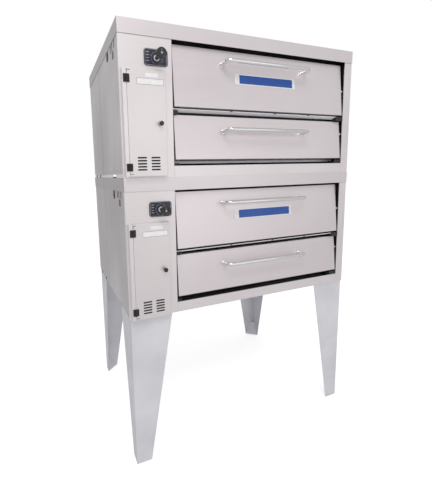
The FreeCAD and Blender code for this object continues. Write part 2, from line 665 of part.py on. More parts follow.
def gas_controls(deck):
    """Gas inlet, manifold with three orifices, shut-off valve and thermostat."""
    name = deck + "_gas_controls"
    pieces = [
        rod(name + "_inlet", "pipe_radius", "inlet_length",
            "pipe_across", "pipe_reach - inlet_length", "burner_height", ALONG_Y),
        rod(name + "_manifold", "manifold_radius", "pipe_reach - inlet_length - riser_back",
            "pipe_across", "riser_back", "burner_height", ALONG_Y),
        elbow(name + "_elbow", "burner_height"),
        rod(name + "_riser", "manifold_radius", "valve_height - burner_height",
            "pipe_across", "riser_back", "burner_height"),
        elbow(name + "_bend", "valve_height"),
        rod(name + "_branch", "manifold_radius", "pipe_across - valve_across",
            "valve_across", "riser_back", "valve_height", ALONG_X),
        block(name + "_valve", "valve_across - valve_width / 2", "valve_across + valve_width / 2",
              "valve_front", "valve_front + valve_body",
              "valve_height - valve_body / 2", "valve_height + valve_body / 2"),
        rod(name + "_feed", "feed_radius", "dial_height - valve_height",
            "valve_across + valve_width / 2 - feed_radius - shaft_room",
            "valve_front + feed_radius + shaft_room", "valve_height"),
        block(name + "_thermostat", "dial_across - thermostat_left", "dial_across + thermostat_right",
              FRONT + " + thermostat_front", FRONT + " + thermostat_back",
              "dial_height - thermostat_right", "dial_height + thermostat_right"),
    ]
    for index in (-1, 0, 1):
        pieces.append(rod("%s_orifice%d" % (name, index + 1), "orifice_radius", "orifice_length",
                          "pipe_across", "%d * burner_pitch" % index, "burner_height", ALONG_X))
    bores = [
        rod(name + "_valve_bore", "shaft_radius + shaft_clearance", "4 * shaft_radius",
            "valve_across", "valve_front - 1", "valve_height", ALONG_Y),
        rod(name + "_dial_bore", "shaft_radius + shaft_clearance", "shaft_depth + 1",
            "dial_across", FRONT + " + thermostat_front - 1", "dial_height", ALONG_Y),
    ]
    return node(cut(name, fuse(name + "_pipework", pieces), bores), name, deck)


def gas_valve_knob(deck):
    """Turn knob of the shut-off valve, behind the service door."""
    name = deck + "_gas_valve_knob"
    gap = "valve_front - shaft_room"
    grip = rod(name + "_disc", "valve_disc", "valve_disc_depth", "valve_across",
               gap + " - valve_disc_depth", "valve_height", ALONG_Y)
    bar = block(name + "_bar", "valve_across - valve_grip_width / 2", "valve_across + valve_grip_width / 2",
                "valve_front - valve_grip", gap + " - valve_grip_width",
                "valve_height - valve_disc + 1", "valve_height + valve_disc - 1")
    shaft = rod(name + "_shaft", "shaft_radius", "6 * shaft_radius", "valve_across",
                "valve_front - 11", "valve_height", ALONG_Y)
    return node(fuse(name, [grip, bar, shaft]), name, deck)


# ---------------------------------------------------------------- doors

def hinge_axis(bottom):
    """Where a door's hinge axis is, front to back and up, as two formulas."""
    back = "(%s - door_proud + hinge_back * 0.9962 + hinge_up * 0.0872)" % FRONT
    up = "(%s + hinge_up * 0.9962 - hinge_back * 0.0872)" % bottom
    return back, up


def hang(thing, name, deck, bottom):
    """Stand a door piece on its bottom edge, leaning back as it closes."""
    tilt = FreeCAD.Rotation(FreeCAD.Vector(-1, 0, 0), number("door_tilt"))
    thing.Placement = FreeCAD.Placement(FreeCAD.Vector(), tilt)
    bind(thing, ".Placement.Rotation.Angle", "door_tilt")
    node(thing, name)
    place(thing, "0", FRONT + " - door_proud", "%s + %s" % (DECKS[deck], bottom))
    return thing


def door_skin(deck, kind):
    """Outer pan of a door, open at the back, with a hole for each pin."""
    name = "%s_%s_door" % (deck, kind)
    height = kind + "_door_height"
    pan = doc.addObject("PartDesign::Body", name)
    outline = sketch(pan, name + "_outline", "XZ_Plane", "0")
    rectangle(outline, "door_left", "0", "door_right", height)
    slab = pad(pan, name + "_slab", outline, "door_thickness", True)
    bends = round_edges(pan, name + "_bends", slab, "sheet", lambda edge: edge.CenterOfMass.y < 0.1)
    inside = sketch(pan, name + "_inside", "XZ_Plane", "door_thickness")
    rectangle(inside, "door_left + sheet", "sheet", "door_right - sheet", height + " - sheet")
    pocket(pan, name + "_hollow", inside, "door_thickness - sheet", True)
    ends = sketch(pan, name + "_ends", "YZ_Plane", "door_left - 1")
    circle(ends, "hinge_back", "hinge_up", "pin_radius + shaft_clearance")
    pocket(pan, name + "_pin_holes", ends, "door_right - door_left + 2", True)
    hang(pan, name, deck, kind + "_door_bottom")
    return pan


def door_core(deck, kind):
    """Insulated inner panel of a door, bored at both ends for the pins."""
    name = "%s_%s_door_core" % (deck, kind)
    height = kind + "_door_height"
    body = block(name + "_block", "door_left + sheet", "door_right - sheet", "sheet",
                 "door_thickness - sheet", "sheet", height + " - sheet")
    lining = block(name + "_lining", "door_left + lining_inset", "door_right - lining_inset",
                   "door_thickness - sheet", "door_thickness + lining_depth",
                   "lining_bottom", height + " - lining_inset")
    bores = []
    for side, start in (("left", "door_left"), ("right", "door_right - pin_depth - 4")):
        bores.append(rod("%s_%s_bore" % (name, side), "pin_radius + shaft_clearance",
                         "pin_depth + 4", start, "hinge_back", "hinge_up", ALONG_X))
    return hang(cut(name, fuse(name + "_solid", [body, lining]), bores), name, deck,
                kind + "_door_bottom")


def door_handle(deck, kind):
    """Chrome bar bent forward at both ends and seated on two round bosses."""
    name = "%s_%s_handle" % (deck, kind)
    up = kind + "_handle_up"
    straight = "handle_reach - handle_bend"
    pieces = [rod(name + "_bar", "handle_radius", "handle_right - handle_left - 2 * handle_bend",
                  "handle_left + handle_bend", "-handle_reach", up, ALONG_X)]
    for side, post, centre, quarter in (("left", "handle_left", "handle_left + handle_bend", 180),
                                        ("right", "handle_right", "handle_right - handle_bend", 270)):
        pieces.append(rod("%s_%s_post" % (name, side), "handle_radius", straight,
                          post, "-(%s)" % straight, up, ALONG_Y))
        pieces.append(rod("%s_%s_boss" % (name, side), "handle_boss", "4", post, "-4", up, ALONG_Y))
        bend = doc.addObject("Part::Torus", "%s_%s_bend" % (name, side))
        bind(bend, "Radius1", "handle_bend")
        bind(bend, "Radius2", "handle_radius")
        bend.Angle3 = 90
        bend.Placement = FreeCAD.Placement(FreeCAD.Vector(), FreeCAD.Rotation(UP, quarter))
        place(bend, centre, "-(%s)" % straight, up)
        pieces.append(bend)
    return hang(fuse(name, pieces), name, deck, kind + "_door_bottom")


def nameplate(deck):
    """Blank plate on the baking door, with rounded corners."""
    name = deck + "_nameplate"
    plate = doc.addObject("PartDesign::Body", name)
    outline = sketch(plate, name + "_outline", "XZ_Plane", "0")
    rectangle(outline, "plate_left", "plate_bottom", "plate_right", "plate_bottom + plate_height")
    slab = pad(plate, name + "_slab", outline, "plate_sheet")
    round_edges(plate, name + "_corners", slab, "4 * plate_sheet", is_deep)
    return hang(plate, name, deck, "baking_door_bottom")


# ---------------------------------------------------------------- service door

def service_door(deck):
    """Raised access door: a pan with two columns of louvers pierced in it."""
    name = deck + "_service_door"
    door = doc.addObject("PartDesign::Body", name)
    outline = sketch(door, name + "_outline", "XZ_Plane", FRONT + " - access_gap")
    rectangle(outline, "access_left", "access_bottom", "access_right", "access_top")
    slab = pad(door, name + "_slab", outline, "access_reach - access_gap")
    face = number(FRONT + " - access_reach")
    round_edges(door, name + "_bends", slab, "sheet", lambda edge: abs(edge.CenterOfMass.y - face) < 0.1)
    inside = sketch(door, name + "_inside", "XZ_Plane", FRONT + " - access_gap")
    rectangle(inside, "access_left + sheet", "access_bottom + sheet",
              "access_right - sheet", "access_top - sheet")
    hollow = pocket(door, name + "_hollow", inside, "access_reach - access_gap - sheet", True)
    slots = sketch(door, name + "_slots", "XZ_Plane", FRONT + " - access_reach - 1")
    rounds = sketch(door, name + "_rounds", "XZ_Plane", FRONT + " - access_reach - 1")
    half = "louver_height / 2"
    for left in ("louver_first", "louver_second"):
        ends = (left + " + " + half, "%s + louver_width - %s" % (left, half))
        rectangle(slots, ends[0], "louver_bottom", ends[1], "louver_bottom + louver_height")
        for end in ends:
            circle(rounds, end, "louver_bottom + " + half, half)
    pierced = pocket(door, name + "_pierced", slots, "2 * sheet")
    rounded = pocket(door, name + "_rounded", rounds, "2 * sheet")
    louvers = door.newObject("PartDesign::LinearPattern", name + "_louvers")
    louvers.Originals = [pierced, rounded]
    louvers.Direction = (slots, ["V_Axis"])
    bind(louvers, "Length", "4 * louver_pitch")
    louvers.Occurrences = 5
    door.Tip = louvers
    return node(door, name, deck)


def service_leaf(name, side, centre):
    """One leaf of a service hinge: plate and knuckles, cleared for its partner."""
    front = FRONT + " - knuckle_front"
    face = FRONT + " - access_reach"
    low = "%s - leaf_height / 2" % centre
    third = "leaf_height / 3"
    if side == "fixed":
        span = ("strip_right - leaf_width", "strip_right")
        solid = [(0, 1), (2, 3)]
        clear = [(1, 2)]
    else:
        span = ("access_left", "access_left + leaf_width")
        solid = [(1, 2)]
        clear = [(0, 1), (2, 3)]
    plate = block(name + "_plate", *span, face + " - leaf_sheet", face, low, low + " + leaf_height")
    knuckles = []
    for start, end in solid:
        trim = "leaf_trim" if side == "moving" else "0"
        knuckles.append(rod("%s_knuckle%d" % (name, start), "knuckle_radius", "%s - 2 * %s" % (third, trim),
                            "knuckle_across", front, "%s + %d * %s + %s" % (low, start, third, trim)))
    reliefs = []
    for start, end in clear:
        reliefs.append(rod("%s_relief%d" % (name, start), "knuckle_radius + leaf_relief",
                           third + " + 2 * leaf_relief", "knuckle_across", front,
                           "%s + %d * %s - leaf_relief" % (low, start, third)))
    if side == "fixed":
        pin = rod(name + "_pin", "knuckle_pin", "leaf_height", "knuckle_across", front, low)
        knuckles.append(pin)
        leaf = fuse(name, [cut(name + "_cleared", plate, reliefs)] + knuckles)
    else:
        bore = rod(name + "_bore", "knuckle_pin + shaft_clearance", "leaf_height", "knuckle_across", front, low)
        joined = fuse(name + "_joined", [cut(name + "_cleared", plate, reliefs)] + knuckles)
        leaf = cut(name, joined, [bore])
    return leaf


def service_hinge_set(deck, side):
    """The same leaf at the top and bottom of the service door."""
    name = "%s_service_hinge_%s" % (deck, "leaves" if side == "moving" else "mounts")
    leaves = [service_leaf(name + "_low", side, "leaf_low"), service_leaf(name + "_high", side, "leaf_high")]
    return node(group(name, leaves), name, deck)


def pull_knob(deck):
    """Round pull knob of the service door, turned with a waist."""
    name = deck + "_service_pull"
    knob = doc.addObject("PartDesign::Body", name)
    profile = sketch(knob, name + "_profile", "XY_Plane", "0")
    polygon(profile, [("0", "0"), ("5", "0"), ("5", "-8"), ("10", "-12"), ("10", "-18"),
                      ("8", "-21"), ("0", "-21")])
    revolve(knob, name + "_turned", profile, "V_Axis")
    node(knob, name)
    place(knob, "latch_across", FRONT + " - access_reach", "%s + latch_height" % DECKS[deck])
    return knob


# ---------------------------------------------------------------- thermostat

def dial_plate(deck):
    """Rounded scale plate behind the thermostat knob."""
    name = deck + "_dial_plate"
    plate = doc.addObject("PartDesign::Body", name)
    outline = sketch(plate, name + "_outline", "XZ_Plane", FRONT)
    rectangle(outline, "dial_plate_left", "dial_plate_bottom", "dial_plate_right", "dial_plate_top")
    slab = pad(plate, name + "_slab", outline, "dial_plate_sheet")
    corners = round_edges(plate, name + "_corners", slab, "4 * dial_plate_sheet", is_deep)
    hole = sketch(plate, name + "_hole", "XZ_Plane", FRONT + " - 2 * dial_plate_sheet")
    circle(hole, "dial_across", "dial_height", "shaft_radius + shaft_room")
    pocket(plate, name + "_bored", hole, "3 * dial_plate_sheet")
    return node(plate, name, deck)


def thermostat_knob(deck):
    """Round dished knob on a long shaft, with a collar at the foot of the shaft."""
    name = deck + "_thermostat_knob"
    knob = doc.addObject("PartDesign::Body", name)
    profile = sketch(knob, name + "_profile", "XY_Plane", "0")
    collar = "-dial_plate_sheet - 1"
    polygon(profile, [
        ("0", "shaft_depth"), ("shaft_radius", "shaft_depth"), ("shaft_radius", collar), ("8", collar),
        ("8", collar + " - 7"), ("shaft_radius + 1", collar + " - 7"), ("shaft_radius + 1", "-knob_back"),
        ("knob_radius - 2", "-knob_back"), ("knob_radius", "-knob_back - 20"),
        ("knob_radius - 1", "-knob_reach + 3"), ("knob_radius - 5", "-knob_reach"),
        ("6", "-knob_reach + 4"), ("0", "-knob_reach + 4")])
    revolve(knob, name + "_turned", profile, "V_Axis")
    node(knob, name)
    place(knob, "dial_across", FRONT, "%s + dial_height" % DECKS[deck])
    return knob


# ---------------------------------------------------------------- legs

def first_leg():
    """Front left leg: two tapered flanges, a top plate and a closed foot."""
    name = "front_left_leg"
    leg = doc.addObject("PartDesign::Body", name)
    front = sketch(leg, name + "_front", "XZ_Plane", "0")
    polygon(front, [("0", "0"), ("leg_front_foot", "0"), ("leg_top", "leg_height"), ("0", "leg_height")])
    pad(leg, name + "_front_flange", front, "leg_sheet", True)
    side = sketch(leg, name + "_side", "YZ_Plane", "0")
    polygon(side, [("0", "0"), ("leg_side_foot", "0"), ("leg_top", "leg_height"), ("0", "leg_height")])
    pad(leg, name + "_side_flange", side, "leg_sheet")
    top = sketch(leg, name + "_top", "XY_Plane", "leg_height - leg_sheet")
    polygon(top, [("0", "0"), ("leg_top", "0"), ("leg_top", "leg_sheet * 10"),
                  ("leg_sheet * 10", "leg_top"), ("0", "leg_top")])
    pad(leg, name + "_top_plate", top, "leg_sheet")
    base = sketch(leg, name + "_base", "XY_Plane", "0")
    polygon(base, [("0", "0"), ("leg_front_foot", "0"), ("0", "leg_side_foot")])
    tip = sketch(leg, name + "_tip", "XY_Plane", "gusset_height")
    polygon(tip, [("0", "0"), ("gusset_top", "0"), ("0", "gusset_top")])
    gusset = leg.newObject("PartDesign::AdditiveLoft", name + "_gusset")
    gusset.Profile = base
    gusset.Sections = [tip]
    leg.Tip = gusset
    node(leg, name)
    place(leg, LEFT + " + leg_inset", FRONT + " + leg_inset", "0")
    return leg


def mirrored_leg(source, name, normal):
    """The same leg at another corner."""
    leg = doc.addObject("Part::Mirroring", name)
    leg.Source = source
    leg.Base = FreeCAD.Vector(0, 0, 0)
    leg.Normal = normal
    return node(leg, name)


# ---------------------------------------------------------------- build

ACROSS = FreeCAD.Vector(1, 0, 0)
DEEP = FreeCAD.Vector(0, 1, 0)
front_left = first_leg()
mirrored_leg(front_left, "front_right_leg", ACROSS)
rear_left = mirrored_leg(front_left, "rear_left_leg", DEEP)
mirrored_leg(rear_left, "rear_right_leg", ACROSS)

for level in DECKS:
    for maker in (lid, back_panel, bottom_pan, control_panel, right_stile, bottom_rail, door_sills,
                  hinge_brackets, chamber_liner, hearth_deck, burners, gas_controls, gas_valve_knob,
                  nameplate, service_door, pull_knob, dial_plate, thermostat_knob):
        maker(level)
    for flank in ("left", "right"):
        side_panel(level, flank)
    for leaf_kind in ("fixed", "moving"):
        service_hinge_set(level, leaf_kind)
    for door_kind in ("baking", "burner"):
        door_skin(level, door_kind)
        door_core(level, door_kind)
        door_handle(level, door_kind)

doc.recompute()

for item in doc.Objects:
    if "Invalid" in item.State or "Error" in item.State:
        raise RuntimeError("%s did not rebuild: %s" % (item.Label, item.State))
os.makedirs("parts", exist_ok=True)
for item in nodes:
    shape = item.Shape
    if shape.isNull() or not shape.isValid():
        raise RuntimeError("%s has no valid shape" % item.Label)
    shape.exportStep("parts/%s.step" % item.Label)
print("wrote %d sub-parts" % len(nodes))
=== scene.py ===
import math

import bmesh
import bpy
from mathutils import Matrix, Vector


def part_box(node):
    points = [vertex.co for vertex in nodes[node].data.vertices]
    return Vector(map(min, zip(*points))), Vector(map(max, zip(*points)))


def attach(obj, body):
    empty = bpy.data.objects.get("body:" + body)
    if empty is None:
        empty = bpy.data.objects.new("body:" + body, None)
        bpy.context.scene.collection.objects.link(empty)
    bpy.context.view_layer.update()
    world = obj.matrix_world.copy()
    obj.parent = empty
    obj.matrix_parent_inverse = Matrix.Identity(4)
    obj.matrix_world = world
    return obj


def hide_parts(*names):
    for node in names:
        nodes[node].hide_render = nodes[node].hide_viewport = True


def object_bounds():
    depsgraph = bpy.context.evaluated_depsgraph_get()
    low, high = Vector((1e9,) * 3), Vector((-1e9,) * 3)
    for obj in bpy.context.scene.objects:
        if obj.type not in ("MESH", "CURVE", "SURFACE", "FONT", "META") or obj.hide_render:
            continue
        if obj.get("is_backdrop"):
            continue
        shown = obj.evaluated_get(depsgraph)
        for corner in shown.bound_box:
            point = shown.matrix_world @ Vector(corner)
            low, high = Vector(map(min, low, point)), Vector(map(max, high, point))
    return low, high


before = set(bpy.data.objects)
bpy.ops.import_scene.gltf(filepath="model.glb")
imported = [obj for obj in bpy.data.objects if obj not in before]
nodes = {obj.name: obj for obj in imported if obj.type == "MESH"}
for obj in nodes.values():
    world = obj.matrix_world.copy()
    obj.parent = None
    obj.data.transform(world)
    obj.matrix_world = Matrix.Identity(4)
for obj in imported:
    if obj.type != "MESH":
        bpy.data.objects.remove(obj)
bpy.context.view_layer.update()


# ------------------------------------------------------------------ studio
# A wide pale floor under an even, bright sky, with a soft light high on the
# left and a weaker one low on the right. The camera stands at the front left,
# at chest height.

EYE = (-0.969, -1.844, 1.441)
EYE_TURN = (82.09, 1.42, -21.41)
LENS_MM = 23.06
SHIFT = (0.0837, -0.0658)
WHITE = (1, 1, 1, 1)
SKY_LIGHT = (0.99, 0.985, 1.0, 1)
SKY_STRENGTH = 0.62
PAPER = (0.8, 0.8, 0.805, 1)
PAPER_GLOW = 0.58
FLOOR_RADIUS = 60


def shader(material):
    """The Principled BSDF of a material."""
    return next(node for node in material.node_tree.nodes if node.type == "BSDF_PRINCIPLED")


def new_material(name, metallic=0.0, roughness=0.5):
    """A material with its plain, even values set on the shader itself."""
    material = bpy.data.materials.new(name)
    material.use_nodes = True
    surface = shader(material)
    surface.inputs["Metallic"].default_value = metallic
    surface.inputs["Roughness"].default_value = roughness
    return material


def softbox(name, place, aim, size, power, tint):
    """A rectangular light at a place, turned to an aim point."""
    lamp = bpy.data.lights.new(name, "AREA")
    lamp.shape = "RECTANGLE"
    lamp.size, lamp.size_y = size
    lamp.energy = power
    lamp.color = tint
    holder = bpy.data.objects.new(name, lamp)
    holder.location = place
    holder.rotation_euler = (Vector(aim) - Vector(place)).to_track_quat("-Z", "Y").to_euler()
    bpy.context.scene.collection.objects.link(holder)


lens = bpy.data.cameras.new("camera")
lens.sensor_width = 36
lens.lens = LENS_MM
lens.shift_x, lens.shift_y = SHIFT
lens.clip_end = 200
camera = bpy.data.objects.new("camera", lens)
camera.location = EYE
camera.rotation_euler = [math.radians(turn) for turn in EYE_TURN]
bpy.context.scene.collection.objects.link(camera)
bpy.context.scene.camera = camera
bpy.context.scene.view_settings.view_transform = "Standard"

sky = bpy.data.worlds.new("studio")
sky.use_nodes = True
bpy.context.scene.world = sky
seen = sky.node_tree.nodes["Background"]
seen.inputs["Color"].default_value = WHITE
seen.inputs["Strength"].default_value = 1.0
lit = sky.node_tree.nodes.new("ShaderNodeBackground")
lit.inputs["Color"].default_value = SKY_LIGHT
lit.inputs["Strength"].default_value = SKY_STRENGTH
ray = sky.node_tree.nodes.new("ShaderNodeLightPath")
choose = sky.node_tree.nodes.new("ShaderNodeMixShader")
wire = sky.node_tree.links.new
wire(ray.outputs["Is Camera Ray"], choose.inputs["Fac"])
wire(lit.outputs["Background"], choose.inputs[1])
wire(seen.outputs["Background"], choose.inputs[2])
wire(choose.outputs["Shader"], sky.node_tree.nodes["World Output"].inputs["Surface"])

softbox("key", place=(-1.3, -3.5, 5.3), aim=(-0.2, -0.4, 1.6), size=(2.6, 1.8), power=98,
        tint=(1.0, 0.985, 0.98))
softbox("front", place=(1.6, -5.2, 1.9), aim=(0, 0, 1.3), size=(4.0, 2.4), power=22,
        tint=(1.0, 0.99, 0.99))

bed = bmesh.new()
bmesh.ops.create_circle(bed, cap_ends=True, segments=96, radius=FLOOR_RADIUS)
floor_mesh = bpy.data.meshes.new("floor")
bed.to_mesh(floor_mesh)
bed.free()
floor = bpy.data.objects.new("floor", floor_mesh)
floor_paint = new_material("floor_paint", roughness=0.7)
shader(floor_paint).inputs["Base Color"].default_value = PAPER
shader(floor_paint).inputs["Emission Color"].default_value = WHITE
seen_only = floor_paint.node_tree.nodes.new("ShaderNodeLightPath")
glow = floor_paint.node_tree.nodes.new("ShaderNodeMath")
glow.operation = "MULTIPLY"
glow.inputs[1].default_value = PAPER_GLOW
wire = floor_paint.node_tree.links.new
wire(seen_only.outputs["Is Camera Ray"], glow.inputs[0])
wire(glow.outputs["Value"], shader(floor_paint).inputs["Emission Strength"])
floor_mesh.materials.append(floor_paint)
bpy.context.scene.collection.objects.link(floor)
floor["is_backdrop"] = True


# ------------------------------------------------------------------ cabinet sheet
# Lid, control panel, stile and rail are stainless sheet with a fine sideways brushing. Behind the
# front face the folded returns are painted black, painted shade for the dark in the gaps round
# the doors. Sizes in all the sections are in millimetres, times MM where Blender needs metres.

MM = 0.001
DECKS = ("lower", "upper")
MASK_STEEPNESS = 3000.0
NOISE_SPAN = (0.3, 0.7)
MIX_FIRST, MIX_SECOND, MIX_RESULT = 6, 7, 2


def effect(name, inputs, outputs):
    """An empty shader node group with named sockets."""
    group = bpy.data.node_groups.new(name, "ShaderNodeTree")
    for label, kind, value in inputs:
        socket = group.interface.new_socket(label, in_out="INPUT", socket_type=kind)
        socket.default_value = value
    for label, kind in outputs:
        group.interface.new_socket(label, in_out="OUTPUT", socket_type=kind)
    return group, group.nodes.new("NodeGroupInput"), group.nodes.new("NodeGroupOutput")


def build_grain():
    """Rolled and brushed sheet: fine streaks, broad clouds and finger marks."""
    group, given, made = effect(
        "brushed_grain",
        [("Stretch", "NodeSocketVector", (3, 3, 420)), ("Cloud Scale", "NodeSocketFloat", 1.7)],
        [("Streak", "NodeSocketFloat"), ("Cloud", "NodeSocketFloat"),
         ("Smudge", "NodeSocketFloat")])
    where = group.nodes.new("ShaderNodeTexCoord")
    stretch = group.nodes.new("ShaderNodeMapping")
    group.links.new(where.outputs["Object"], stretch.inputs["Vector"])
    group.links.new(given.outputs["Stretch"], stretch.inputs["Scale"])
    streak = group.nodes.new("ShaderNodeTexNoise")
    streak.inputs["Scale"].default_value = 1.0
    streak.inputs["Detail"].default_value = 3.0
    group.links.new(stretch.outputs["Vector"], streak.inputs["Vector"])
    cloud = group.nodes.new("ShaderNodeTexNoise")
    cloud.inputs["Detail"].default_value = 2.0
    group.links.new(where.outputs["Object"], cloud.inputs["Vector"])
    group.links.new(given.outputs["Cloud Scale"], cloud.inputs["Scale"])
    smear = group.nodes.new("ShaderNodeTexNoise")
    smear.inputs["Scale"].default_value = 7.0
    smear.inputs["Detail"].default_value = 5.0
    smear.inputs["Distortion"].default_value = 0.6
    group.links.new(where.outputs["Object"], smear.inputs["Vector"])
    marks = group.nodes.new("ShaderNodeMapRange")
    marks.inputs["From Min"].default_value = 0.55
    marks.inputs["From Max"].default_value = 0.8
    group.links.new(smear.outputs["Fac"], marks.inputs["Value"])
    group.links.new(streak.outputs["Fac"], made.inputs["Streak"])
    group.links.new(cloud.outputs["Fac"], made.inputs["Cloud"])
    group.links.new(marks.outputs["Result"], made.inputs["Smudge"])
    return group


def build_inward_mask():
    """0 on an outer face, 1 inside it, measured along one axis from the middle."""
    group, given, made = effect(
        "inward_mask",
        [("Axis", "NodeSocketVector", (0, 1, 0)), ("Face", "NodeSocketFloat", 0.0)],
        [("Inside", "NodeSocketFloat")])
    where = group.nodes.new("ShaderNodeTexCoord")
    along = group.nodes.new("ShaderNodeVectorMath")
    along.operation = "DOT_PRODUCT"
    group.links.new(where.outputs["Object"], along.inputs[0])
    group.links.new(given.outputs["Axis"], along.inputs[1])
    value = along.outputs["Value"]
    for operation, other in (("ABSOLUTE", None), ("SUBTRACT", given.outputs["Face"]),
                             ("MULTIPLY", -MASK_STEEPNESS)):
        step = group.nodes.new("ShaderNodeMath")
        step.operation = operation
        step.use_clamp = operation == "MULTIPLY"
        group.links.new(value, step.inputs[0])
        if isinstance(other, float):
            step.inputs[1].default_value = other
        elif other:
            group.links.new(other, step.inputs[1])
        value = step.outputs["Value"]
    group.links.new(value, made.inputs["Inside"])
    return group


brushed_grain = build_grain()
inward_mask = build_inward_mask()


def place_group(material, group, **values):
    """A copy of an effect inside a material, with its own values."""
    node = material.node_tree.nodes.new("ShaderNodeGroup")
    node.node_tree = group
    for label, value in values.items():
        node.inputs[label.replace("_", " ")].default_value = value
    return node


def blend_colours(material, factor, first, second):
    """A colour that goes from first to second as the factor rises."""
    mix = material.node_tree.nodes.new("ShaderNodeMix")
    mix.data_type = "RGBA"
    material.node_tree.links.new(factor, mix.inputs["Factor"])
    for socket, colour in ((mix.inputs[MIX_FIRST], first), (mix.inputs[MIX_SECOND], second)):
        if isinstance(colour, bpy.types.NodeSocket):
            material.node_tree.links.new(colour, socket)
        else:
            socket.default_value = (*colour, 1)
    return mix.outputs[MIX_RESULT]


def spread(material, source, low, high, start=0.0, end=1.0):
    """A value that runs from low to high as the source runs from start to end."""
    remap = material.node_tree.nodes.new("ShaderNodeMapRange")
    remap.inputs["From Min"].default_value = start
    remap.inputs["From Max"].default_value = end
    remap.inputs["To Min"].default_value = low
    remap.inputs["To Max"].default_value = high
    material.node_tree.links.new(source, remap.inputs["Value"])
    return remap.outputs["Result"]


def total(material, first, second):
    """The sum of two values."""
    add = material.node_tree.nodes.new("ShaderNodeMath")
    material.node_tree.links.new(first, add.inputs[0])
    material.node_tree.links.new(second, add.inputs[1])
    return add.outputs["Value"]


def bump(material, height, strength, distance):
    """Raises a material's surface by a height."""
    relief = material.node_tree.nodes.new("ShaderNodeBump")
    relief.inputs["Strength"].default_value = strength
    relief.inputs["Distance"].default_value = distance
    material.node_tree.links.new(height, relief.inputs["Height"])
    material.node_tree.links.new(relief.outputs["Normal"], shader(material).inputs["Normal"])


def sheet_steel(name, light, dark, stretch, shine, metallic=0.6, within=None):
    """Brushed stainless sheet. Stretch sets which way the brushing runs, shine
    is its least and most roughness, and within gives an axis, a distance and
    the colour of what lies inside it."""
    material = new_material(name, metallic=metallic)
    grain = place_group(material, brushed_grain, Stretch=stretch)
    streak = grain.outputs["Streak"]
    tone = total(material, spread(material, grain.outputs["Cloud"], -0.3, 1.0, 0.25, 0.75),
                 spread(material, streak, -0.16, 0.16, *NOISE_SPAN))
    colour = blend_colours(material, tone, dark, light)
    rough = total(material, spread(material, streak, *shine, *NOISE_SPAN),
                  spread(material, grain.outputs["Smudge"], 0.0, 0.07))
    if within:
        axis, face, inner = within
        mask = place_group(material, inward_mask, Axis=axis, Face=face)
        colour = blend_colours(material, mask.outputs["Inside"], colour, inner)
    surface = shader(material)
    material.node_tree.links.new(colour, surface.inputs["Base Color"])
    material.node_tree.links.new(rough, surface.inputs["Roughness"])
    bump(material, streak, strength=0.12, distance=0.0004)
    return material


def finish_node(name, material):
    """Gives a CAD node its material."""
    slots = nodes[name].material_slots
    for slot in slots:
        slot.material = material
    if not slots:
        nodes[name].data.materials.append(material)


FRONT_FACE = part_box("lower_right_stile")[0].y
LID_EDGE = 661 * MM
PAINTED_INNER_SHADE = (0.012, 0.012, 0.012)
SIDEWAYS = (3, 3, 420)
SHEET_SHINE = (0.34, 0.46)
# More than 3 mm behind the front face the sheet turns black: painted shade in the gaps round the
# doors.
panel_steel = sheet_steel("panel_steel", light=(0.84, 0.8, 0.8), dark=(0.76, 0.715, 0.72),
                          stretch=SIDEWAYS, shine=SHEET_SHINE,
                          within=((0, 1, 0), -FRONT_FACE - 3 * MM, PAINTED_INNER_SHADE))
# The lid's top and front take the lighter colour and its side flanges, outside LID_EDGE, the
# darker one: painted shade on the sides of one sheet.
lid_steel = sheet_steel("lid_steel", light=(0.60, 0.575, 0.58), dark=(0.51, 0.485, 0.49),
                        stretch=SIDEWAYS, shine=SHEET_SHINE,
                        within=((1, 0, 0), LID_EDGE, (0.745, 0.695, 0.70)))
for deck in DECKS:
    finish_node(deck + "_lid", lid_steel)
    for part in ("control_panel", "right_stile", "bottom_rail"):
        finish_node("%s_%s" % (deck, part), panel_steel)


# ------------------------------------------------------------------ screws
# Plain pan-head screws, wherever a sheet is screwed down. Every head is a short
# turned dome, and a group of them is one piece.

screw_steel = sheet_steel("screw_steel", light=(0.95, 0.94, 0.92), dark=(0.86, 0.85, 0.83),
                          stretch=(60, 60, 60), shine=(0.22, 0.32), metallic=0.95)
HEAD_SHAPE = ((0.0, 1.0), (0.45, 1.0), (0.8, 0.8), (1.0, 0.45))


def to_object(name, form, material, body, smooth=False):
    """Turns a bmesh into a piece that rides on a body."""
    bmesh.ops.recalc_face_normals(form, faces=form.faces)
    mesh = bpy.data.meshes.new(name)
    form.to_mesh(mesh)
    form.free()
    for face in mesh.polygons:
        face.use_smooth = smooth
    if smooth:
        mesh.set_sharp_from_angle(angle=math.radians(35))
    piece = bpy.data.objects.new(name, mesh)
    mesh.materials.append(material)
    bpy.context.scene.collection.objects.link(piece)
    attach(piece, body)
    return piece


def shifted(seat, x, y, z):
    """A frame moved by some millimetres."""
    return seat @ Matrix.Translation(Vector((x, y, z)) * MM)


def facing(seat, place, outward):
    """A frame at a place in another frame, with its +Z along an outward direction."""
    return shifted(seat, *place) @ Vector(outward).to_track_quat("Z", "Y").to_matrix().to_4x4()


def add_lathe(form, profile, segments, seat):
    """Turns a profile of (height, radius) rings into a closed solid."""
    before = set(form.verts)
    rims = []
    for height, radius in profile:
        ring = bmesh.ops.create_circle(form, segments=segments, radius=radius * MM)["verts"]
        bmesh.ops.translate(form, verts=ring, vec=(0, 0, height * MM))
        corners = set(ring)
        rims.append([edge for edge in form.edges if edge.verts[0] in corners])
    for lower, upper in zip(rims, rims[1:]):
        bmesh.ops.bridge_loops(form, edges=lower + upper)
    bmesh.ops.contextual_create(form, geom=rims[0])
    bmesh.ops.contextual_create(form, geom=rims[-1])
    fresh = [vert for vert in form.verts if vert not in before]
    bmesh.ops.transform(form, matrix=seat, verts=fresh)


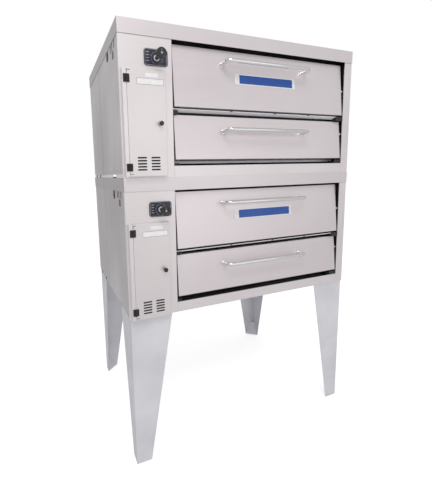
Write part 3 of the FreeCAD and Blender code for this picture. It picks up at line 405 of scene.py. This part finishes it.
def add_bar(form, low, high, seat, edge=0.0):
    """A block between two corners in a frame, with its edges eased."""
    middle = (Vector(low) + Vector(high)) / 2 * MM
    size = (Vector(high) - Vector(low)) * MM
    before = set(form.verts)
    made = bmesh.ops.create_cube(form, size=1)["verts"]
    bmesh.ops.scale(form, vec=size, verts=made)
    bmesh.ops.translate(form, vec=middle, verts=made)
    if edge:
        corners = set(made)
        sharp = [rim for rim in form.edges if rim.verts[0] in corners]
        bmesh.ops.bevel(form, geom=sharp, offset=edge * MM, segments=2, profile=0.5,
                        affect="EDGES", material=-1)
    fresh = [vert for vert in form.verts if vert not in before]
    bmesh.ops.transform(form, matrix=seat, verts=fresh)


def add_head(form, radius, height, seat):
    """One screw head."""
    add_lathe(form, [(rise * height, wide * radius) for rise, wide in HEAD_SHAPE], 16, seat)


def screws(name, places, outward, seat, radius, height):
    """A group of screw heads that stand on the cabinet."""
    form = bmesh.new()
    for place in places:
        add_head(form, radius, height, facing(seat, place, outward))
    to_object(name, form, screw_steel, "cabinet", smooth=True)


# ------------------------------------------------------------------ sides and back
# Rolled sheet, duller than the front, with cover plates on small screws and a rusty knock-out.
# The black plates round the vents are painted shade for the vent openings, and the black ring
# round the knock-out is painted shade for its slit. A floor plate on the bottom pan closes the
# gap behind the control panel.

SIDE_X, BACK_Y = 660, 450
ROLLED = (26, 26, 0.5)
ROLLED_LIGHT, ROLLED_DARK = (0.73, 0.705, 0.71), (0.56, 0.535, 0.54)
ROLLED_SHINE = (0.42, 0.55)
# Inside their outer faces the sides and back turn black: painted shade inside the cabinet.
side_steel = sheet_steel("side_steel", ROLLED_LIGHT, ROLLED_DARK, ROLLED, ROLLED_SHINE,
                         within=((1, 0, 0), (SIDE_X - 0.2) * MM, PAINTED_INNER_SHADE))
back_steel = sheet_steel("back_steel", ROLLED_LIGHT, ROLLED_DARK, ROLLED, ROLLED_SHINE,
                         within=((0, 1, 0), (BACK_Y - 1.5) * MM, PAINTED_INNER_SHADE))
pan_steel = sheet_steel("pan_steel", ROLLED_LIGHT, ROLLED_DARK, (26, 0.5, 26), ROLLED_SHINE)
for deck in DECKS:
    finish_node(deck + "_left_side_panel", side_steel)
    finish_node(deck + "_right_side_panel", side_steel)
    finish_node(deck + "_back_panel", back_steel)
    finish_node(deck + "_bottom_pan", pan_steel)


def deck_seat(deck):
    """The frame of a deck: origin in the middle, level with its underside."""
    return Matrix.Translation((0, 0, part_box(deck + "_control_panel")[0].z))


def front_seat(deck):
    """The frame of a deck's front face: origin in the middle of its lower edge."""
    return deck_seat(deck) @ Matrix.Translation((0, FRONT_FACE, 0))


def add_side_bar(form, way, span, low, high, seat, edge=0.0):
    """A block on one side; span is its distances from the middle of the oven."""
    left, right = sorted(way * reach for reach in span)
    add_bar(form, (left, *low), (right, *high), seat, edge)


def build_mottle():
    """Broad clouds and fine grain for paint, plastic, stone and castings."""
    group, given, made = effect(
        "fine_mottle",
        [("Broad Scale", "NodeSocketFloat", 4.0), ("Fine Scale", "NodeSocketFloat", 300.0)],
        [("Broad", "NodeSocketFloat"), ("Fine", "NodeSocketFloat")])
    where = group.nodes.new("ShaderNodeTexCoord")
    for label, detail in (("Broad", 3.0), ("Fine", 2.0)):
        noise = group.nodes.new("ShaderNodeTexNoise")
        noise.inputs["Detail"].default_value = detail
        group.links.new(where.outputs["Object"], noise.inputs["Vector"])
        group.links.new(given.outputs[label + " Scale"], noise.inputs["Scale"])
        group.links.new(noise.outputs["Fac"], made.inputs[label])
    return group


fine_mottle = build_mottle()


def mottled(name, light, dark, scales, gloss, relief, metallic=0.0):
    """A finish that wanders between two colours, with a fine raised grain.
    Scales are the broad and the fine one, gloss the least and most roughness,
    and relief the grain's strength and height in metres."""
    material = new_material(name, metallic=metallic)
    mottle = place_group(material, fine_mottle, Broad_Scale=scales[0], Fine_Scale=scales[1])
    fine = mottle.outputs["Fine"]
    tone = total(material, spread(material, mottle.outputs["Broad"], -0.2, 0.9, *NOISE_SPAN),
                 spread(material, fine, -0.12, 0.12, *NOISE_SPAN))
    colour = blend_colours(material, tone, dark, light)
    rough = spread(material, fine, *gloss, *NOISE_SPAN)
    material.node_tree.links.new(colour, shader(material).inputs["Base Color"])
    material.node_tree.links.new(rough, shader(material).inputs["Roughness"])
    bump(material, fine, *relief)
    return material


SIDES = (("left", -1), ("right", 1))
COVER_FACES = {"left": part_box("lower_left_side_panel")[0].x / MM,
               "right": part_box("lower_right_side_panel")[1].x / MM}
REAR_SCREWS = ((251, 570), (328, 570), (251, 462), (328, 462))
COVER_SCREWS = {"left": ((-425, 425), (-311, 425), (-425, 46), (-311, 46), (-158, 290),
                         (-158, 46), (-245, 217)) + REAR_SCREWS,
                "right": REAR_SCREWS}
FLANGE_SCREWS = ((-440, 520), (-215, 330), (60, 40), (60, 560), (430, 60), (430, 320), (430, 545))
BACK_SCREWS = ([(x, z) for x in (-640, -400, 0, 400, 640) for z in (34, 586)]
               + [(x, 310) for x in (-640, 640)])
VENT_ROWS = (((-373, -329, -294), 565, 598), ((-352, -334), 527, 559))
VENT_HALF = 5.6
KNOCKOUT = (-SIDE_X, -212, 577)
KNOCKOUT_RING = ((0, 23.5), (0.5, 23.5), (0.7, 22), (0.5, 17))
KNOCKOUT_DISC = ((0.3, 17.5), (0.9, 17.5), (1.1, 16))
SEAMS = (((73, 20), (74.4, 652)), ((-146, 20), (-145, 300)))
FLOOR_PLATE = ((-656, 2, 0), (-424, 68, 1.2))
knockout_rust = mottled("knockout_rust", light=(0.15, 0.10, 0.075), dark=(0.07, 0.05, 0.042),
                        scales=(90, 700), gloss=(0.5, 0.7), relief=(0.2, 0.0002), metallic=0.4)
seam_shadow = mottled("seam_shadow", light=(0.11, 0.105, 0.105), dark=(0.07, 0.066, 0.066),
                      scales=(30, 700), gloss=(0.7, 0.85), relief=(0.1, 0.0001))
# Near black for the vents, the louvers and the knock-out's slit: painted shade in openings.
painted_opening_shade = mottled("painted_opening_shade", light=(0.022, 0.021, 0.021), dark=(0.01, 0.01, 0.01),
                     scales=(30, 900), gloss=(0.6, 0.75), relief=(0.1, 0.0001))
for deck in DECKS:
    seat = deck_seat(deck)
    for side, way in SIDES:
        screws("%s_%s_cover_screws" % (deck, side),
               [(COVER_FACES[side], y, z) for y, z in COVER_SCREWS[side]],
               (way, 0, 0), seat, radius=3.4, height=1.1)
    for side, way in SIDES:
        screws("%s_%s_flange_screws" % (deck, side),
               [(way * SIDE_X, y, z) for y, z in FLANGE_SCREWS],
               (way, 0, 0), seat, radius=3.2, height=1.6)
    screws(deck + "_back_screws", [(x, BACK_Y, z) for x, z in BACK_SCREWS],
           (0, 1, 0), seat, radius=4, height=1.6)

    ring, disc, vent_shades, seams, plate = (bmesh.new() for _ in range(5))
    add_lathe(ring, KNOCKOUT_RING, 32, facing(seat, KNOCKOUT, (-1, 0, 0)))
    add_lathe(disc, KNOCKOUT_DISC, 32, facing(seat, KNOCKOUT, (-1, 0, 0)))
    for _, way in SIDES:
        for row, low, high in VENT_ROWS:
            for y in row:
                add_side_bar(vent_shades, way, (SIDE_X - 0.2, SIDE_X + 0.45), (y - VENT_HALF, low),
                             (y + VENT_HALF, high), seat, edge=0.15)
    for low, high in SEAMS:
        add_side_bar(seams, -1, (SIDE_X - 0.2, SIDE_X + 0.4), low, high, seat)
    pan_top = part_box(deck + "_bottom_pan")[1].z
    add_bar(plate, *FLOOR_PLATE, Matrix.Translation((0, FRONT_FACE, pan_top)), edge=0.3)
    to_object(deck + "_knockout_ring", ring, painted_opening_shade, "cabinet", smooth=True)
    to_object(deck + "_knockout", disc, knockout_rust, "cabinet", smooth=True)
    to_object(deck + "_side_vent_shade", vent_shades, painted_opening_shade, "cabinet")
    to_object(deck + "_side_seams", seams, seam_shadow, "cabinet")
    to_object(deck + "_front_floor_plate", plate, pan_steel, "cabinet")


# ------------------------------------------------------------------ base rails
# Each deck stands on a low folded rail, set in a little from its sides. It has one gap for a fork
# on each side, and dark packing blocks near the back. The upper deck's rail is painted brighter
# than the lower deck's same rail: painted light.

RAIL_X, RAIL_SHEET = 658.5, 1.5
RAIL_FOOT, RAIL_TOP = 0.4, 15.4
SIDE_RUNS = ((-446, -276), (-196, 446))
REAR_RUNS = ((-652, -575), (-285, 652))
REAR_RAIL_Y = 444
PACKING_STARTS, PACKING_LENGTH = (198, 342), 22
# A near-white copy of the rail sheet for the upper deck only: painted light.
painted_light_rail_steel = sheet_steel("painted_light_rail_steel", light=(0.95, 0.935, 0.945), dark=(0.88, 0.865, 0.875),
                         stretch=(26, 26, 26), shine=(0.4, 0.5))
packing = mottled("packing", light=(0.04, 0.04, 0.045), dark=(0.02, 0.02, 0.024),
                  scales=(40, 600), gloss=(0.7, 0.8), relief=(0.2, 0.0003))
for deck in DECKS:
    seat = deck_seat(deck)
    rails, blocks = bmesh.new(), bmesh.new()
    for _, way in SIDES:
        for start, end in SIDE_RUNS:
            add_side_bar(rails, way, (RAIL_X - RAIL_SHEET, RAIL_X), (start, RAIL_FOOT),
                         (end, RAIL_TOP), seat, edge=0.3)
        for start in PACKING_STARTS:
            add_side_bar(blocks, way, (RAIL_X + 0.1, RAIL_X + 2), (start, 1),
                         (start + PACKING_LENGTH, RAIL_TOP), seat, edge=0.4)
    for start, end in REAR_RUNS:
        add_bar(rails, (start, REAR_RAIL_Y, RAIL_FOOT), (end, REAR_RAIL_Y + RAIL_SHEET, RAIL_TOP),
                seat, edge=0.3)
    to_object(deck + "_base_rails", rails, painted_light_rail_steel if deck == "upper" else pan_steel,
              "cabinet")
    to_object(deck + "_packing_blocks", blocks, packing, "cabinet")


# ------------------------------------------------------------------ front corner returns
# The front sheet is folded round both corners and shows as a narrow strip along the side, under
# the lid, painted lighter than the front sheet as a painted highlight. On the left it also shows
# beside the hinges of the service door.

RETURN_WIDTH, RETURN_TOP = 13, 597
HINGE_STRIP = ((-659.6, -0.4, 2), (-639.5, 0.2, 458))
# Lighter than the front sheet it is folded from: a painted highlight.
return_painted_highlight = sheet_steel("return_painted_highlight", light=(0.9, 0.87, 0.875), dark=(0.82, 0.785, 0.79),
                           stretch=(420, 420, 3), shine=(0.3, 0.4))
for deck in DECKS:
    seat = front_seat(deck)
    for side, way in SIDES:
        form = bmesh.new()
        add_side_bar(form, way, (SIDE_X - 0.3, SIDE_X + 0.7), (0.2, 1),
                     (RETURN_WIDTH, RETURN_TOP), seat, edge=0.25)
        if side == "left":
            add_bar(form, *HINGE_STRIP, seat, edge=0.15)
        to_object("%s_%s_front_return" % (deck, side), form, return_painted_highlight, "cabinet")


# ------------------------------------------------------------------ sills, brackets and legs
# The sills under the doors are bright sheet, the hinge brackets black steel.
# The legs are tapered folded plate under a pale grey paint.

sill_steel = sheet_steel("sill_steel", light=(0.95, 0.95, 0.98), dark=(0.87, 0.87, 0.91),
                         stretch=SIDEWAYS, shine=(0.4, 0.5), metallic=0.25)
leg_paint = mottled("leg_paint", light=(0.80, 0.80, 0.835), dark=(0.70, 0.70, 0.735),
                    scales=(5, 700), gloss=(0.38, 0.5), relief=(0.1, 0.0004), metallic=0.35)
# Near-black steel: the hinge brackets' own colour, and painted shade on the covers, baffles and
# louver backs.
black_steel_and_painted_shade = mottled("black_steel_and_painted_shade", light=(0.03, 0.03, 0.032), dark=(0.012, 0.012, 0.013),
                      scales=(20, 900), gloss=(0.45, 0.6), relief=(0.25, 0.0003))
for deck in DECKS:
    finish_node(deck + "_door_sills", sill_steel)
    finish_node(deck + "_hinge_brackets", black_steel_and_painted_shade)
for corner in ("front_left", "front_right", "rear_left", "rear_right"):
    finish_node(corner + "_leg", leg_paint)


# ------------------------------------------------------------------ drip strips
# Under the baking door a bright notched flap slopes down into the opening. Its notches are black
# plates, painted shade, and the thin black sheet below it is a painted shadow for the gap in
# front of the sill. Black bracket covers hide the doors' pins at the right corner; they are
# partly black brackets and partly painted shade for the jamb behind them. A dark baffle over the
# chamber closes the view to the side vents, black as painted shade.

FLAP_LEFT, FLAP_RIGHT, FLAP_DEPTH, FLAP_TOP = -420, 558, 27.9, 306.2
FLAP_DROP = math.radians(-24.1)
NOTCHES, NOTCH_WIDTH = (-125, 133, 352), 14
BRACKET_RIGHT = 609
BRACKET_HEIGHTS = ((283.6, 306.8), (51.6, 70.4))
GAP_SHADOW = ((-415, 59.3, 288.8), (604, 59.9, 304.2))
BAFFLES = ((-418, 645, 77), (-656, -424, 61.5), (613, 656, 61.5))
BAFFLE_LOW, BAFFLE_HIGH, BAFFLE_SHEET = 569, 656, 3
for deck in DECKS:
    seat = front_seat(deck)
    hung = shifted(seat, 0, -0.5, FLAP_TOP) @ Matrix.Rotation(FLAP_DROP, 4, "X")
    flap, shade_covers, baffle = bmesh.new(), bmesh.new(), bmesh.new()
    add_bar(flap, (FLAP_LEFT, 0, -1), (FLAP_RIGHT, FLAP_DEPTH, 0), hung, edge=0.3)
    add_bar(flap, (FLAP_LEFT, -0.3, -2.6), (FLAP_RIGHT, 1.5, -0.2), hung, edge=0.5)
    # Black plates over the flap's notches: painted shade.
    for x in NOTCHES:
        add_bar(shade_covers, (x, -0.7, -3.2), (x + NOTCH_WIDTH, 1.2, -0.6), hung, edge=0.3)
    # Black blocks at the right corner: partly brackets, partly painted shade for the jamb behind.
    for low, high in BRACKET_HEIGHTS:
        add_bar(shade_covers, (FLAP_RIGHT + 0.5, -1.2, low), (BRACKET_RIGHT, 0.6, high), seat, edge=0.4)
    # A thin black sheet over the sill's face: painted shadow.
    add_bar(shade_covers, *GAP_SHADOW, seat, edge=0.2)
    # Black baffles over the chamber: painted shade.
    for left, right, back in BAFFLES:
        add_bar(baffle, (left, back, BAFFLE_LOW), (right, back + BAFFLE_SHEET, BAFFLE_HIGH), seat)
    to_object(deck + "_drip_flap", flap, sill_steel, "cabinet")
    to_object(deck + "_bracket_and_shade_covers", shade_covers, black_steel_and_painted_shade, "cabinet")
    to_object(deck + "_chamber_baffle", baffle, black_steel_and_painted_shade, "cabinet")


# ------------------------------------------------------------------ door stop pins
# Two bright pins stand in the right jamb of each deck; a closed door rests on
# them. Each shows a turned cap.

PIN_X, PIN_BACK, PIN_HEIGHTS = 603, 14, (447, 214)
PIN_CAP = ((-6, 5.4), (0.2, 5.4), (0.8, 4.6), (1.0, 1.5))
cap_steel = sheet_steel("cap_steel", light=(0.95, 0.93, 0.92), dark=(0.88, 0.86, 0.85),
                        stretch=(40, 40, 40), shine=(0.3, 0.4), metallic=0.4)
for deck in DECKS:
    form = bmesh.new()
    for up in PIN_HEIGHTS:
        add_lathe(form, PIN_CAP, 20, facing(front_seat(deck), (PIN_X, PIN_BACK, up), (-1, 0, 0)))
    to_object(deck + "_stop_caps", form, cap_steel, "cabinet", smooth=True)


# ------------------------------------------------------------------ doors
# A stainless pan over an insulated core. Each door leans back into the opening,
# and swings down on two pins in its bottom corners. Both have the same sheet.

DOORS = ("baking", "burner")
DOOR_LEAN, DOOR_DEPTH = math.radians(5), 42
door_steel = sheet_steel("door_steel", light=(0.79, 0.735, 0.74), dark=(0.725, 0.67, 0.68),
                         stretch=SIDEWAYS, shine=(0.32, 0.44))
door_lining = mottled("door_lining", light=(0.45, 0.42, 0.38), dark=(0.30, 0.26, 0.22),
                      scales=(6, 240), gloss=(0.35, 0.5), relief=(0.1, 0.0006), metallic=0.8)


def door_seat(deck, kind):
    """The frame of a closed door: origin on its bottom front edge, leaning back."""
    low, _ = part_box("%s_%s_door" % (deck, kind))
    origin = Vector((0, low.y, low.z + DOOR_DEPTH * MM * math.sin(DOOR_LEAN)))
    return Matrix.Translation(origin) @ Matrix.Rotation(-DOOR_LEAN, 4, "X")


for deck in DECKS:
    for kind in DOORS:
        finish_node("%s_%s_door" % (deck, kind), door_steel)
        finish_node("%s_%s_door_core" % (deck, kind), door_lining)


# ------------------------------------------------------------------ door handles
# Each handle is one chromed bar, bent towards the door at both ends and seated
# on two small round bosses.

HANDLE_ENDS = (-158, 330)
HANDLE_UP = {"baking": 208, "burner": 133}
BAR_RADIUS, BAR_REACH, BAR_BEND = 9.5, 55, 24
BOSS = ((0, 12.5), (1.6, 12.5), (2.6, 12), (3, 10.5))
chrome = sheet_steel("chrome", light=(0.86, 0.85, 0.86), dark=(0.78, 0.77, 0.78),
                     stretch=(60, 60, 60), shine=(0.1, 0.18), metallic=1.0)


def run_ring(form, rim, step):
    """Draws a ring of edges out along a straight step."""
    made = bmesh.ops.extrude_edge_only(form, edges=rim)["geom"]
    moved = [item for item in made if isinstance(item, bmesh.types.BMVert)]
    bmesh.ops.translate(form, verts=moved, vec=step)
    return [item for item in made if isinstance(item, bmesh.types.BMEdge)]


def bend_ring(form, rim, centre):
    """Turns a ring of edges a quarter round a centre."""
    made = bmesh.ops.spin(form, geom=rim, cent=centre, axis=(0, 0, 1), angle=math.radians(90),
                          steps=10)
    return [item for item in made["geom_last"] if isinstance(item, bmesh.types.BMEdge)]


def bent_bar(up):
    """The bar and its bosses, in the frame of its door."""
    left, right = HANDLE_ENDS
    straight = BAR_REACH - BAR_BEND
    form = bmesh.new()
    ring = bmesh.ops.create_circle(form, segments=28, radius=BAR_RADIUS)["verts"]
    bmesh.ops.rotate(form, verts=ring, matrix=Matrix.Rotation(math.radians(90), 3, "X"))
    bmesh.ops.translate(form, verts=ring, vec=(left, 0, up))
    rim = form.edges[:]
    bmesh.ops.contextual_create(form, geom=rim)
    rim = run_ring(form, rim, (0, -straight, 0))
    rim = bend_ring(form, rim, (left + BAR_BEND, -straight, up))
    rim = run_ring(form, rim, (right - left - 2 * BAR_BEND, 0, 0))
    rim = bend_ring(form, rim, (right - BAR_BEND, -straight, up))
    rim = run_ring(form, rim, (0, straight, 0))
    bmesh.ops.contextual_create(form, geom=rim)
    bmesh.ops.scale(form, verts=form.verts, vec=(MM, MM, MM))
    for post in HANDLE_ENDS:
        add_lathe(form, BOSS, 28, facing(Matrix(), (post, 0, up), (0, -1, 0)))
    return form


for deck in DECKS:
    for kind in DOORS:
        form = bent_bar(HANDLE_UP[kind])
        bmesh.ops.transform(form, matrix=door_seat(deck, kind), verts=form.verts)
        bar = to_object("%s_%s_handle_bar" % (deck, kind), form, chrome,
                        "%s_%s_door_assembly" % (deck, kind), smooth=True)
        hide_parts("%s_%s_handle" % (deck, kind))


# ------------------------------------------------------------------ nameplate
# A blank enamelled plate on the baking door, pale with a blue field pressed up
# in the middle. A screw at each end holds it.

PLATE_ENDS, PLATE_Z, PLATE_HALF = (-93, 272), 146, 25.5
FIELD_ENDS, FIELD_HALF = (-66, 254), 20.5
PLATE_SCREWS = (-80, 263)
plate_blue = mottled("plate_blue", light=(0.028, 0.105, 0.41), dark=(0.02, 0.085, 0.36),
                     scales=(8, 500), gloss=(0.2, 0.32), relief=(0.05, 0.0001), metallic=0.1)
plate_edge = mottled("plate_edge", light=(0.88, 0.88, 0.90), dark=(0.80, 0.80, 0.83),
                     scales=(30, 600), gloss=(0.25, 0.35), relief=(0.05, 0.0001))
for deck in DECKS:
    seat = shifted(door_seat(deck, "baking"), 0, 0, PLATE_Z)
    body = deck + "_baking_door_assembly"
    plate, field, heads = bmesh.new(), bmesh.new(), bmesh.new()
    add_bar(plate, (PLATE_ENDS[0], -2, -PLATE_HALF), (PLATE_ENDS[1], 0, PLATE_HALF), seat,
            edge=0.7)
    add_bar(field, (FIELD_ENDS[0], -2.5, -FIELD_HALF), (FIELD_ENDS[1], -1.7, FIELD_HALF), seat,
            edge=0.3)
    for x in PLATE_SCREWS:
        add_head(heads, 3.4, 1.4, facing(seat, (x, -2, 0), (0, -1, 0)))
    backing = to_object(deck + "_plate_backing", plate, plate_edge, body)
    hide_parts(deck + "_nameplate")
    to_object(deck + "_plate_field", field, plate_blue, body)
    to_object(deck + "_nameplate_screws", heads, screw_steel, body, smooth=True)


# ------------------------------------------------------------------ thermostat
# A navy scale plate with a bright ring and plain tick marks, and a round black knob on a long
# shaft. The knob's face is dished, with a pale grey disc at its centre that is a painted
# highlight.

DIAL_X, DIAL_Z, PLATE_SHEET = -492, 512, 3
KNOB = ((4.0, 7.2), (4.5, 8), (10.5, 8), (11, 7.2), (11.2, 5), (38.8, 5), (39.2, 10), (41, 11),
        (48, 12), (51, 14), (53, 19), (55, 21.4), (59, 22.8), (69, 23), (72.5, 22.4), (74.4, 21),
        (75, 19.2), (74.6, 17.8), (73.4, 16.6), (72.6, 12), (72.4, 4))
HIGHLIGHT_DISC = ((72, 4.6), (73, 4.6), (73.6, 3.6), (73.8, 1.2))
POINTER = ((-0.5, -73.2, 8), (0.5, -72.4, 16))
SCALE_RING = ((-0.5, 13.2), (0.9, 13.2), (1.4, 12.4), (1.4, 11), (0.9, 10.2))
TICKS, TICK_START, TICK_STEP, TICK_RADIUS = 25, -150, 12.5, 24
LONG_TICK, SHORT_TICK = 4.6, 2.6
PRINT_BACK, PRINT_FRONT = 0.2, -0.3
BORDER = (((-53, -30), (46, -29.2)), ((-53, 34), (46, 34.8)), ((-53, -30), (-52.2, 34.8)),
          ((45.2, -30), (46, 34.8)))
SCALE_LINES = tuple(((-47, z), (-35, z + 1.6)) for z in (-14, -2, 10, 22))
dial_navy = mottled("dial_navy", light=(0.035, 0.038, 0.06), dark=(0.013, 0.015, 0.028),
                    scales=(30, 700), gloss=(0.3, 0.45), relief=(0.05, 0.0002))
dial_print = mottled("dial_print", light=(0.78, 0.78, 0.8), dark=(0.6, 0.6, 0.64),
                     scales=(60, 900), gloss=(0.35, 0.5), relief=(0.05, 0.0001))
knob_black = mottled("knob_black", light=(0.035, 0.034, 0.036), dark=(0.018, 0.018, 0.019),
                     scales=(30, 1200), gloss=(0.3, 0.42), relief=(0.12, 0.0002))
# A pale grey disc at the knob's centre: a painted highlight.
painted_highlight_grey = mottled("painted_highlight_grey", light=(0.5, 0.49, 0.52), dark=(0.34, 0.33, 0.36),
                   scales=(80, 900), gloss=(0.25, 0.4), relief=(0.05, 0.0001))
for deck in DECKS:
    finish_node(deck + "_dial_plate", dial_navy)
    seat = shifted(front_seat(deck), DIAL_X, 0, DIAL_Z)
    outward = facing(seat, (0, 0, 0), (0, -1, 0))
    body = deck + "_thermostat_dial"
    grip, highlight_disc, pointer, marks = (bmesh.new() for _ in range(4))
    add_lathe(grip, KNOB, 48, outward)
    add_lathe(highlight_disc, HIGHLIGHT_DISC, 24, outward)
    add_bar(pointer, *POINTER, seat, edge=0.15)
    knob = to_object(deck + "_thermostat_grip", grip, knob_black, body,
                     smooth=True)
    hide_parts(deck + "_thermostat_knob")
    to_object(deck + "_thermostat_painted_highlight", highlight_disc, painted_highlight_grey, body, smooth=True)
    to_object(deck + "_thermostat_pointer", pointer, dial_print, body)

    face = shifted(seat, 0, -PLATE_SHEET, 0)
    add_lathe(marks, SCALE_RING, 40, facing(face, (0, 0, 0), (0, -1, 0)))
    for tick in range(TICKS):
        spoke = face @ Matrix.Rotation(math.radians(TICK_START + TICK_STEP * tick), 4, "Y")
        reach = LONG_TICK if tick % 3 == 0 else SHORT_TICK
        add_bar(marks, (-0.45, PRINT_FRONT, TICK_RADIUS), (0.45, PRINT_BACK, TICK_RADIUS + reach),
                spoke)
    for (x0, z0), (x1, z1) in BORDER + SCALE_LINES:
        add_bar(marks, (x0, PRINT_FRONT, z0), (x1, PRINT_BACK, z1), face)
    to_object(deck + "_dial_marks", marks, dial_print, "cabinet")


# ------------------------------------------------------------------ service door
# A shallow pan with two columns of louvers on two ribbed black hinges. Each slot sits in a black
# plate a little larger than it, painted shade for the slot. It has two blank labels, a turned
# black pull and dark clips at its hinge side, and a black plate behind each column of louvers is
# painted shade seen through the slots.

ACCESS_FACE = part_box("lower_service_door")[0].y
LABELS = {"small": ((-553, 426), (-496, 441)), "large": ((-590, 394), (-472, 417))}
LABEL_BORDER = (((-591.5, 392.5), (-470.5, 394)), ((-591.5, 417), (-470.5, 418.5)),
                ((-591.5, 394), (-590, 417)), ((-472, 394), (-470.5, 417)))
LOUVER_SHADE_AREAS = (((-604, 27), (-554, 94)), ((-542, 27), (-492, 94)))
LOUVER_X, LOUVER_Z = (-579, -517), (34.5, 47.5, 60.5, 73.5, 86.5)
LOUVER_SIZE, SLOT_SIDES = (42, 7, 0.6), 18
RIB_HEIGHTS, RIB_HALF, RIB_WIDTH, RIB_STEP, RIBS = (45, 414), 15.6, 1.7, 3.1, 4
CLIPS = (((-634, 447), (-620, 449.6)), ((-634, 438), (-632.2, 447)), ((-634, 14), (-620, 16.2)))
access_steel = sheet_steel("access_steel", light=(0.81, 0.765, 0.765), dark=(0.745, 0.695, 0.7),
                           stretch=SIDEWAYS, shine=SHEET_SHINE)
label_paper = mottled("label_paper", light=(0.95, 0.925, 0.93), dark=(0.87, 0.845, 0.85),
                      scales=(40, 500), gloss=(0.4, 0.55), relief=(0.05, 0.0001))
label_edge = mottled("label_edge", light=(0.38, 0.37, 0.38), dark=(0.28, 0.27, 0.28),
                     scales=(40, 500), gloss=(0.4, 0.55), relief=(0.05, 0.0001))
hinge_black = mottled("hinge_black", light=(0.03, 0.03, 0.032), dark=(0.012, 0.012, 0.013),
                      scales=(20, 900), gloss=(0.4, 0.55), relief=(0.2, 0.0003))
clip_steel = mottled("clip_steel", light=(0.16, 0.15, 0.16), dark=(0.09, 0.085, 0.09),
                     scales=(40, 700), gloss=(0.4, 0.5), relief=(0.1, 0.0002))


def add_slot(form, size, seat):
    """A thin plate with round ends; size is its length, width and thickness."""
    length, width, thickness = (value * MM for value in size)
    made = bmesh.ops.create_cone(form, cap_ends=True, segments=SLOT_SIDES, radius1=width / 2,
                                 radius2=width / 2, depth=thickness)["verts"]
    bmesh.ops.rotate(form, verts=made, matrix=Matrix.Rotation(math.pi / SLOT_SIDES, 3, "Z"))
    for way in (-1, 1):
        half = [vert for vert in made if vert.co.x * way > 0]
        bmesh.ops.translate(form, verts=half, vec=(way * (length - width) / 2, 0, 0))
    bmesh.ops.transform(form, matrix=seat, verts=made)


def door_plates(name, seat, areas, depths, material, body, edge=0.0):
    """A piece of flat plates on a service door, one for each area of its face.
    Depths are their front and back, behind the face."""
    front, back = depths
    form = bmesh.new()
    for (x0, z0), (x1, z1) in areas:
        add_bar(form, (x0, front, z0), (x1, back, z1), seat, edge)
    to_object(name, form, material, body)


for deck in DECKS:
    seat = deck_seat(deck) @ Matrix.Translation((0, ACCESS_FACE, 0))
    body = deck + "_service_door_assembly"
    finish_node(deck + "_service_door", access_steel)
    finish_node(deck + "_service_hinge_leaves", hinge_black)
    finish_node(deck + "_service_hinge_mounts", hinge_black)
    finish_node(deck + "_service_pull", knob_black)
    for size, area in LABELS.items():
        door_plates("%s_%s_label" % (deck, size), seat, [area], (-0.35, 0.2), label_paper, body,
                    edge=0.15)
    door_plates(deck + "_label_border", seat, LABEL_BORDER, (-0.3, 0.2), label_edge, body)
    # Black plates behind the louvers: painted shade seen through the slots.
    door_plates(deck + "_louver_back_shade", seat, LOUVER_SHADE_AREAS, (2.1, 2.9), black_steel_and_painted_shade, body,
                edge=0.2)

    # A black plate round each slot: painted shade for the slot.
    form = bmesh.new()
    for x in LOUVER_X:
        for z in LOUVER_Z:
            add_slot(form, LOUVER_SIZE, facing(seat, (x, 0, z), (0, -1, 0)))
    to_object(deck + "_louver_slot_shade", form, painted_opening_shade, body)

    for leaf, start, rides in (("mount", -648.6, "cabinet"), ("leaf", -634.6, body)):
        ribs = [((start + RIB_STEP * rib, middle - RIB_HALF),
                 (start + RIB_STEP * rib + RIB_WIDTH, middle + RIB_HALF))
                for middle in RIB_HEIGHTS for rib in range(RIBS)]
        door_plates("%s_hinge_%s_ribs" % (deck, leaf), seat, ribs, (-3.9, -2.8), hinge_black,
                    rides, edge=0.35)
    door_plates(deck + "_door_clips", seat, CLIPS, (-0.9, 0.2), clip_steel, body,
                edge=0.3)


# ------------------------------------------------------------------ inside the oven
# Two fire-brick stones over cast burners in an aluminised liner that years of
# heat have browned. Gas pipe is black iron.

stone = mottled("stone", light=(0.70, 0.63, 0.53), dark=(0.48, 0.42, 0.34),
                scales=(7, 420), gloss=(0.8, 0.95), relief=(0.5, 0.0012))
liner_steel = mottled("liner_steel", light=(0.36, 0.33, 0.30), dark=(0.20, 0.165, 0.13),
                      scales=(3.5, 260), gloss=(0.4, 0.6), relief=(0.1, 0.0006), metallic=0.75)
burner_iron = mottled("burner_iron", light=(0.16, 0.12, 0.10), dark=(0.07, 0.05, 0.045),
                      scales=(9, 380), gloss=(0.6, 0.8), relief=(0.5, 0.0012), metallic=0.5)
pipe_iron = mottled("pipe_iron", light=(0.07, 0.07, 0.072), dark=(0.03, 0.03, 0.032),
                    scales=(14, 420), gloss=(0.35, 0.55), relief=(0.3, 0.0008), metallic=0.6)
for deck in DECKS:
    finish_node(deck + "_hearth_deck", stone)
    finish_node(deck + "_chamber_liner", liner_steel)
    finish_node(deck + "_burners", burner_iron)
    finish_node(deck + "_gas_controls", pipe_iron)
    finish_node(deck + "_gas_valve_knob", knob_black)


# ------------------------------------------------------------------ sizes
# The box round every shown piece of the visual model, the floor left out.

low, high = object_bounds()
